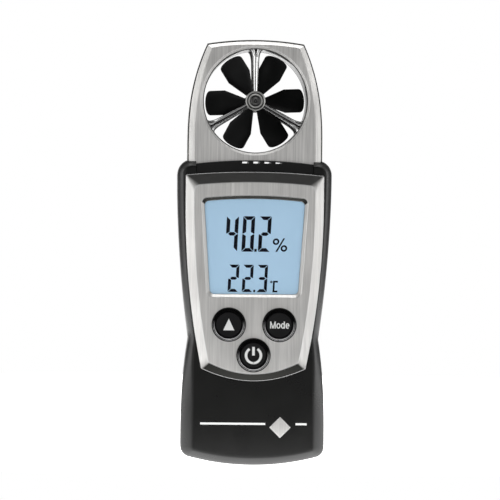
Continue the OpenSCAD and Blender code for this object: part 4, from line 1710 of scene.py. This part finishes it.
@dataclass
class Head:
    """The head's halves, the duct, the spokes and the hub; sizes in millimetres."""

    axis_z: float = 108.4
    duct_r: float = 15.52
    sleeve: tuple[float, float, float] = (15.36, 15.5, 7.9)
    rim_curve: tuple[Place, ...] = (
        (8.5, 2.2, 1.6), (8.46, 2.06, 1.46), (8.36, 1.92, 1.32), (7.15, 0.52, 0.62), (7.05, 0.42, 0.52),
        (6.85, 0.26, 0.34), (6.6, 0.1, 0.14), (6.3, 0.0, 0.0), (0.1, 0.0, 0.0), (0.0, 0.1, 0.1))
    mouth: tuple[Point, ...] = ((0.0, -1.0), (0.0, 8.02), (0.1, 8.12), (0.62, 8.4), (0.76, 8.52), (0.76, 9.5))
    neck: Arch = Arch(22.0, 90.65)
    screw_places: tuple[Point, ...] = ((15.2, 94.3), (-15.2, 94.3), (12.1, 122.3), (-12.1, 122.3))
    screw_bore: tuple[float, float] = (1.3, 5.5)
    turns: tuple[float, ...] = (0.0, 120.0, 240.0)
    section: tuple[Point, ...] = (
        (-1, -6.3), (-1, -7.0), (-0.82, -7.12), (-0.48, -7.46), (-0.17, -7.36), (-0.07, -7.0), (0.07, -7.0),
        (0.17, -7.36), (0.48, -7.46), (0.82, -7.12), (1, -7.0), (1, -6.3), (0.35, -5.6), (-0.35, -5.6))
    painted_highlight_strips: tuple[int, ...] = (2, 3, 7, 8)
    flare: tuple[Point, ...] = (
        (2.5, 0.8), (4, 0.84), (8, 0.92), (12, 1.02), (13, 1.1), (13.8, 1.25), (14.4, 1.42), (14.85, 1.66),
        (15.15, 2.0), (15.4, 2.5))
    rim: tuple[Point, ...] = (
        (15.5, 5.2), (15.5, 7.3), (15.46, 7.4), (15.38, 7.4), (15.34, 7.3), (15.34, 5.2), (15.5, 5.2))
    hub: tuple[Point, ...] = ((1.6, 4.6), (2.9, 4.6), (2.9, 7.45), (2.75, 7.6), (1.6, 7.6), (1.6, 4.6))
    cap_rings: tuple[Point, ...] = (
        (0, 0), (3, 0), (3, 0.34), (2.9, 0.5), (2.72, 0.54), (2.6, 0.48), (2.5, 0.2), (2.3, 0.14),
        (2.18, 0.2), (2.1, 0.5), (1.98, 0.62), (1.8, 0.62), (1.68, 0.5), (1.6, 0.2), (1.4, 0.12),
        (1.2, 0.2), (1.1, 0.6), (0.98, 0.7), (0.8, 0.7), (0.68, 0.6), (0.6, 0.3), (0.42, 0.26),
        (0.3, 0.5), (0.16, 0.6), (0, 0.62))

    def build(self, finish: Palette) -> None:
        """Makes and dresses the head's pieces.

        Args:
            finish: the finishes to use.
        """
        for side in Facing:
            name = "front" if side is Facing.FRONT else "rear"
            settle(self.half(side, name), Body.HOUSING, finish.head, "brushed_silver", ("head_" + name,))
            settle(self.spider(side, name), Body.HOUSING, finish.spider, "satin_silver", (name + "_spider",))
            settle(self.cap(side, name), Body.HOUSING, finish.turned, "turned_metal", (name + "_hub_cap",))
            dress(name + "_bearing", finish.jewel)
        inner, outer, reach = (size * MM for size in self.sleeve)
        wall = ((inner, reach), (outer, reach), (outer, -reach), (inner, -reach), (inner, reach))
        tube = lathe(wall, Vector((0, 0, self.axis_z * MM)), Facing.BACK, 160)
        settle(from_bmesh("duct_wall", tube, 40), Body.HOUSING, finish.duct, "satin_silver", ("duct_sleeve",))
        for node, material in (
                ("head_brackets", finish.tray), ("rotation_pickup", finish.coil),
                ("head_ribbon", finish.film), ("ribbon_socket", finish.socket),
                ("sensor_board", finish.board),
                ("humidity_sensor", finish.ceramic), ("temperature_sensor", finish.chip)):
            dress(node, material)

    def half(self, side: Facing, name: str) -> bpy.types.Object:
        """Makes one half of the head, with its bevelled rim and the duct's opening.

        Args:
            side: which half.
            name: its name.

        Returns:
            The finished half, with painted shade lines round its rim and its opening.
        """
        rings = [(side.value * y, HEAD.ring(inset, top)) for y, inset, top in self.rim_curve]
        bore = [(self.duct_r + wider, side.value * y) for wider, y in self.mouth]
        bore = [(0, bore[0][1]), *bore, (0, bore[-1][1])]
        cutters = [turned(bore, (0, self.axis_z), 128), slab(self.neck.closed_at(80), -10, 10)]
        if side is Facing.BACK:
            radius, start = self.screw_bore
            hole = ((0, start), (radius, start), (radius, 9), (0, 9))
            cutters += [turned(hole, place, 32) for place in self.screw_places]
        piece = rounded(carved(loft(rings), cutters), "head_" + name + "_finished", 0.08 * MM, 2, 40)
        # Painted shade: dark lines on the rounded rim and at the duct's opening
        marks = piece.data.attributes[EDGE_WEAR_AND_PAINTED_LIGHT].data
        for face in piece.data.polygons:
            deep = abs(face.center.y) / MM
            far = math.hypot(face.center.x / MM, face.center.z / MM - self.axis_z)
            on_rim = 6.3 < deep < 7.1 and abs(face.normal.y) > 0.15 and far > 16.5
            on_mouth = far < 15.75 and deep < 8.3
            if on_rim or on_mouth:
                marks[face.index].value = -1.0
        return piece

    def spoke(self, work: bmesh.types.BMesh, turn: float, side: Facing) -> None:
        """Adds one spoke with two ridges and a groove, flared where it meets the rim, its ridges carrying
        painted highlight strips and its other strips painted shade.

        Args:
            work: the bmesh to add to.
            turn: its angle from upright in degrees.
            side: which face of the duct it stands at.
        """
        mark = work.faces.layers.float.get(EDGE_WEAR_AND_PAINTED_LIGHT)
        spin = Matrix.Rotation(math.radians(turn), 4, "Y")
        axis = Vector((0, 0, self.axis_z))
        rows = []
        for r, wide in self.flare:
            points = [spin @ Vector((x * wide, -side.value * y, r)) + axis for x, y in self.section]
            rows.append([work.verts.new(point) for point in points])
        count = len(self.section)
        for low, high in zip(rows, rows[1:]):
            for i in range(count):
                k = (i + 1) % count
                strip = work.faces.new((low[i], low[k], high[k], high[i]))
                # Painted highlight on the ridges, painted shade on the other strips
                strip[mark] = 1.0 if i in self.painted_highlight_strips else -1.0
        work.faces.new(rows[0])
        work.faces.new(list(reversed(rows[-1])))

    def spider(self, side: Facing, name: str) -> bpy.types.Object:
        """Makes three spokes with a rim and a hub.

        Args:
            side: which face of the duct it stands at.
            name: its name.

        Returns:
            The finished piece.
        """
        centre = Vector((0, 0, self.axis_z))
        work = lathe(self.rim, centre, side, 128)
        work.faces.layers.float.new(EDGE_WEAR_AND_PAINTED_LIGHT)
        extra = lathe(self.hub, centre, side, 64)
        spare = bpy.data.meshes.new("hub")
        extra.to_mesh(spare)
        extra.free()
        work.from_mesh(spare)
        for turn in self.turns:
            self.spoke(work, turn, side)
        to_metres(work)
        return from_bmesh("spokes_" + name, work, 55)

    def cap(self, side: Facing, name: str) -> bpy.types.Object:
        """Makes a turned hub cap with raised rings, and painted shade in its two grooves, the inner one
        spreading over the whole middle.

        Args:
            side: which face of the duct it stands at.
            name: its name.

        Returns:
            The finished cap.
        """
        work = lathe(self.cap_rings, Vector((0, side.value * self.hub[3][1], self.axis_z)), side, 96)
        to_metres(work)
        mark = work.faces.layers.float.new(EDGE_WEAR_AND_PAINTED_LIGHT)
        for face in work.faces:
            middle = face.calc_center_median() / MM
            far = math.hypot(middle.x, middle.z - self.axis_z)
            # Painted shade in the outer groove and over the middle
            face[mark] = -1.0 if far < 1.7 or 2.05 < far < 2.5 else 0.0
        return from_bmesh("cap_" + name, work, 30)


@dataclass
class VaneWheel:
    """The wheel: twisted, slightly hollow blades on a hub; sizes in millimetres."""

    blades: int = 6
    root_r: float = 1.9
    full_r: float = 8.9
    square_r: float = 13.1
    tip_r: float = 14.85
    root_half: float = 0.7
    half: float = 3.6
    thick: float = 0.5
    thinning: float = 0.45
    camber: float = 0.05
    turn: float = -2.2
    root_pitch: float = 42.0
    tip_pitch: float = 27.0
    hub_end: float = 3.6
    hub_bore: float = 0.5
    hub_curve: tuple[Point, ...] = ((1.5, 0.0), (1.8, 0.12), (2.1, 0.5), (2.2, 1.0))

    def reach(self, r: float) -> float:
        """Half width of a blade seen from the front at radius r.

        Args:
            r: the radius.

        Returns:
            The half width there.
        """
        if r < self.full_r:
            share = (r - self.root_r) / (self.full_r - self.root_r)
            return self.root_half + (self.half - self.root_half) * share
        if r < self.square_r:
            return self.half
        out = (r - self.square_r) / (self.tip_r - self.square_r)
        return self.half * math.sqrt(max(1 - out ** 2.6, 0.0))

    def row(self, r: float, side: int) -> list[Place]:
        """Points across a blade.

        Args:
            r: the radius at which they lie.
            side: 1 for its front sheet, -1 for its back sheet.

        Returns:
            The points, with the blade along X.
        """
        share = (r - self.root_r) / (self.tip_r - self.root_r)
        pitch = math.radians(self.root_pitch + (self.tip_pitch - self.root_pitch) * share)
        chord = self.reach(r) / math.cos(pitch)
        thick = self.thick * (1 - self.thinning * share) / 2
        points = []
        for t in steps(-1, 1, 8):
            u = t * chord
            v = side * thick * math.sqrt(max(1 - t ** 6, 0.02)) + self.camber * chord * (1 - t * t)
            forward = u * math.sin(pitch) + v * math.cos(pitch)
            points.append((r, forward, u * math.cos(pitch) - v * math.sin(pitch)))
        return points

    def blade(self) -> bpy.types.Object:
        """Makes one blade outwards along X, round the origin.

        Returns:
            The blade.
        """
        stations = steps(self.root_r, self.full_r, 8)[:-1] + steps(self.full_r, self.square_r, 5)[:-1]
        span = self.tip_r - self.square_r
        stations += [self.square_r + span * math.sin(math.radians(a)) for a in steps(0, 90, 9)]
        work = bmesh.new()
        top, bottom = ([[work.verts.new(point) for point in self.row(r, side)] for r in stations]
                       for side in (1, -1))
        last = len(top[0]) - 1
        for sheet in (top, bottom):
            for low, high in zip(sheet, sheet[1:]):
                for k in range(last):
                    work.faces.new((low[k], low[k + 1], high[k + 1], high[k]))
        for k in (0, last):
            for (a, b), (c, d) in zip(zip(top, top[1:]), zip(bottom, bottom[1:])):
                work.faces.new((a[k], b[k], d[k], c[k]))
        for row in (0, -1):
            for k in range(last):
                work.faces.new((top[row][k], top[row][k + 1], bottom[row][k + 1], bottom[row][k]))
        to_metres(work)
        bmesh.ops.dissolve_degenerate(work, dist=MERGE, edges=work.edges)
        bmesh.ops.rotate(work, matrix=Matrix.Rotation(math.radians(self.turn), 3, "Y"), verts=work.verts)
        return from_bmesh("vane_blade", work, 50)

    def build(self, finish: Palette) -> None:
        """Makes and dresses the wheel and its shaft.

        Args:
            finish: the finishes to use.
        """
        low, high = corners("vane_shaft")
        axis = (low + high) / 2
        sizes = {"Count": self.blades, "Turn": math.tau / self.blades, "Centre": tuple(axis)}
        blades = repeated(self.blade(), round_tree("blades_round_hub", finish.vane), sizes, "vane_blades")
        settle(blades, Body.VANE, finish.vane, "vane_black", ("vane_wheel",))
        front = [(radius, self.hub_end - back) for radius, back in self.hub_curve]
        rear = [(radius, -y) for radius, y in reversed(front)]
        ends = ((self.hub_bore, -self.hub_end), (self.hub_bore, self.hub_end))
        profile = [(radius * MM, y * MM) for radius, y in (ends[1], *front, *rear, *ends)]
        hub = from_bmesh("vane_hub", lathe(profile, axis, Facing.FRONT, 64), 30)
        settle(hub, Body.VANE, finish.vane, "vane_black")
        dress("vane_shaft", finish.steel)


class Electronics:
    """The board and the parts on it."""

    def build(self, finish: Palette) -> None:
        """Dresses the board.

        Args:
            finish: the finishes to use.
        """
        for node, material in (("circuit_board", finish.board), ("microcontroller", finish.chip),
                               ("board_parts", finish.chip)):
            dress(node, material)


class Power:
    """The cells, their contacts and their tray."""

    def build(self, finish: Palette) -> None:
        """Dresses the battery bay.

        Args:
            finish: the finishes to use.
        """
        for node, material in (("battery_left", finish.cell), ("battery_right", finish.cell),
                               ("battery_tray", finish.tray), ("battery_springs", finish.steel),
                               ("battery_contacts", finish.steel)):
            dress(node, material)


class Screws:
    """The screws, with domed heads and a cross recess."""

    def build(self, finish: Palette) -> None:
        """Dresses the screws.

        Args:
            finish: the finishes to use.
        """
        for node in ("case_screws", "head_screws"):
            settle(refined(node, 0.08, 2), Body.HOUSING, finish.screw, "screw_steel", (node,))
        dress("board_screws", finish.steel)


# ---------------------------------------------------------------- studio


@dataclass(frozen=True)
class Softbox:
    """A large area light: its place, its size and how bright its face is."""

    name: str
    place: Place
    size: Point
    radiance: float

    def build(self, target: Vector) -> None:
        """Adds the light, turned to a target.

        Args:
            target: the point it faces.
        """
        light = bpy.data.lights.new(self.name, "AREA")
        light.shape = "RECTANGLE"
        light.size, light.size_y = self.size
        light.energy = self.radiance * math.pi * self.size[0] * self.size[1]
        lamp = bpy.data.objects.new(self.name, light)
        lamp.location = self.place
        lamp.rotation_euler = (target - Vector(self.place)).to_track_quat("-Z", "Y").to_euler()
        lamp.visible_camera = False
        bpy.context.scene.collection.objects.link(lamp)


@dataclass
class Studio:
    """A pale floor, soft light and the camera."""

    lens: float = 240.0
    sensor: float = 36.0
    frame_width: float = 148.25 * MM
    aim: Place = (-1.3 * MM, -11.0 * MM, 64.05 * MM)
    azimuth: float = -1.7
    elevation: float = 0.2
    roll: float = 0.56
    front_tone: float = 0.4
    side_tone: float = 0.85
    upper_tone: float = 0.05
    floor_r: float = 0.35
    floor_back: float = 0.3
    floor_glow: float = 1.9
    lit_z: float = 0.065
    boxes: tuple[Softbox, ...] = (
        Softbox("left_front", (-0.42, -0.58, 0.1), (0.26, 0.6), 1.3),
        Softbox("right_front", (0.42, -0.58, 0.1), (0.26, 0.6), 1.0),
        Softbox("left_rim", (-0.64, 0.24, 0.08), (0.2, 0.7), 1.7),
        Softbox("right_rim", (0.64, 0.24, 0.08), (0.2, 0.7), 1.7),
        Softbox("top_box", (0.0, 0.0, 0.8), (0.7, 0.7), 1.6),
    )

    def floor(self) -> None:
        """Adds the pale floor, set back so that the meter's front doesn't mirror it."""
        surface = Surface("pale_floor")
        grain = surface.group(GROUPS.grain, Fineness=900.0)
        tone = surface.graph.blend(grain.outputs["Blotch"], (0.9, 0.9, 0.9), (0.88, 0.88, 0.88))
        surface.feed("Base Color", tone)
        surface.set(Roughness=0.9, Emission_Color=(1.0, 1.0, 1.0), Emission_Strength=self.floor_glow)
        work = bmesh.new()
        bmesh.ops.create_circle(work, cap_ends=True, radius=self.floor_r, segments=64)
        bmesh.ops.translate(work, vec=(0.0, self.floor_back, 0.0), verts=work.verts)
        floor = from_bmesh("pale_floor", work)
        floor.data.materials.append(surface.material)

    def sky(self) -> None:
        """Sets white behind the meter, and greys in front of it for its reflections."""
        world = bpy.data.worlds.new("studio")
        world.use_nodes = True
        bpy.context.scene.world = world
        graph = Graph(world.node_tree)
        back = world.node_tree.nodes["Background"]
        way = graph.split(graph.add("ShaderNodeTexCoord").outputs["Generated"])
        front = graph.span(way[1], -0.15, -0.5)
        above = graph.math("MULTIPLY", graph.span(way[2], 0.15, 0.4), graph.span(way[2], 0.95, 0.75))
        flag = graph.math("MULTIPLY", graph.span(way[1], 0.5, 0.6), graph.span(way[1], 0.92, 0.8))
        dark = graph.math("MAXIMUM", graph.math("MULTIPLY", above, front), flag)
        below = graph.span(way[2], -0.5, -0.85)
        ahead = graph.math("SUBTRACT", front, below, clamp=True)
        grey = graph.blend(ahead, (self.side_tone,) * 3, (self.front_tone,) * 3)
        shade = graph.blend(dark, grey, (self.upper_tone,) * 3)
        path = graph.add("ShaderNodeLightPath")
        graph.link(graph.blend(path.outputs["Is Camera Ray"], shade, (1.0, 1.0, 1.0)), back.inputs["Color"])
        back.inputs["Strength"].default_value = 1.0

    def camera(self) -> None:
        """Adds the camera in front of the meter, turned slightly to the left."""
        distance = self.frame_width / self.sensor * self.lens
        turn = Matrix.Rotation(math.radians(self.azimuth), 4, "Z") @ Matrix.Rotation(
            math.radians(90 - self.elevation), 4, "X")
        data = bpy.data.cameras.new("camera")
        data.lens = self.lens
        data.sensor_width = self.sensor
        data.clip_start = 0.01
        camera = bpy.data.objects.new("camera", data)
        spin = Matrix.Rotation(math.radians(self.roll), 4, "Z")
        back = Matrix.Translation((0, 0, distance))
        camera.matrix_world = Matrix.Translation(self.aim) @ turn @ back @ spin
        bpy.context.scene.collection.objects.link(camera)
        bpy.context.scene.camera = camera

    def build(self) -> None:
        """Sets up the whole studio."""
        bpy.context.scene.view_settings.view_transform = "Standard"
        self.camera()
        self.floor()
        self.sky()
        for box in self.boxes:
            box.build(Vector((0.0, 0.0, self.lit_z)))


def main() -> None:
    """Builds the studio and every sub-assembly, in order."""
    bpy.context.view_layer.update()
    Studio().build()
    finish = Palette()
    for assembly in (Housing(), Display(), Keys(), Head(), VaneWheel(), Electronics(), Power(), Screws()):
        log.info("building %s", type(assembly).__name__)
        assembly.build(finish)


if __name__ == "__main__":
    main()
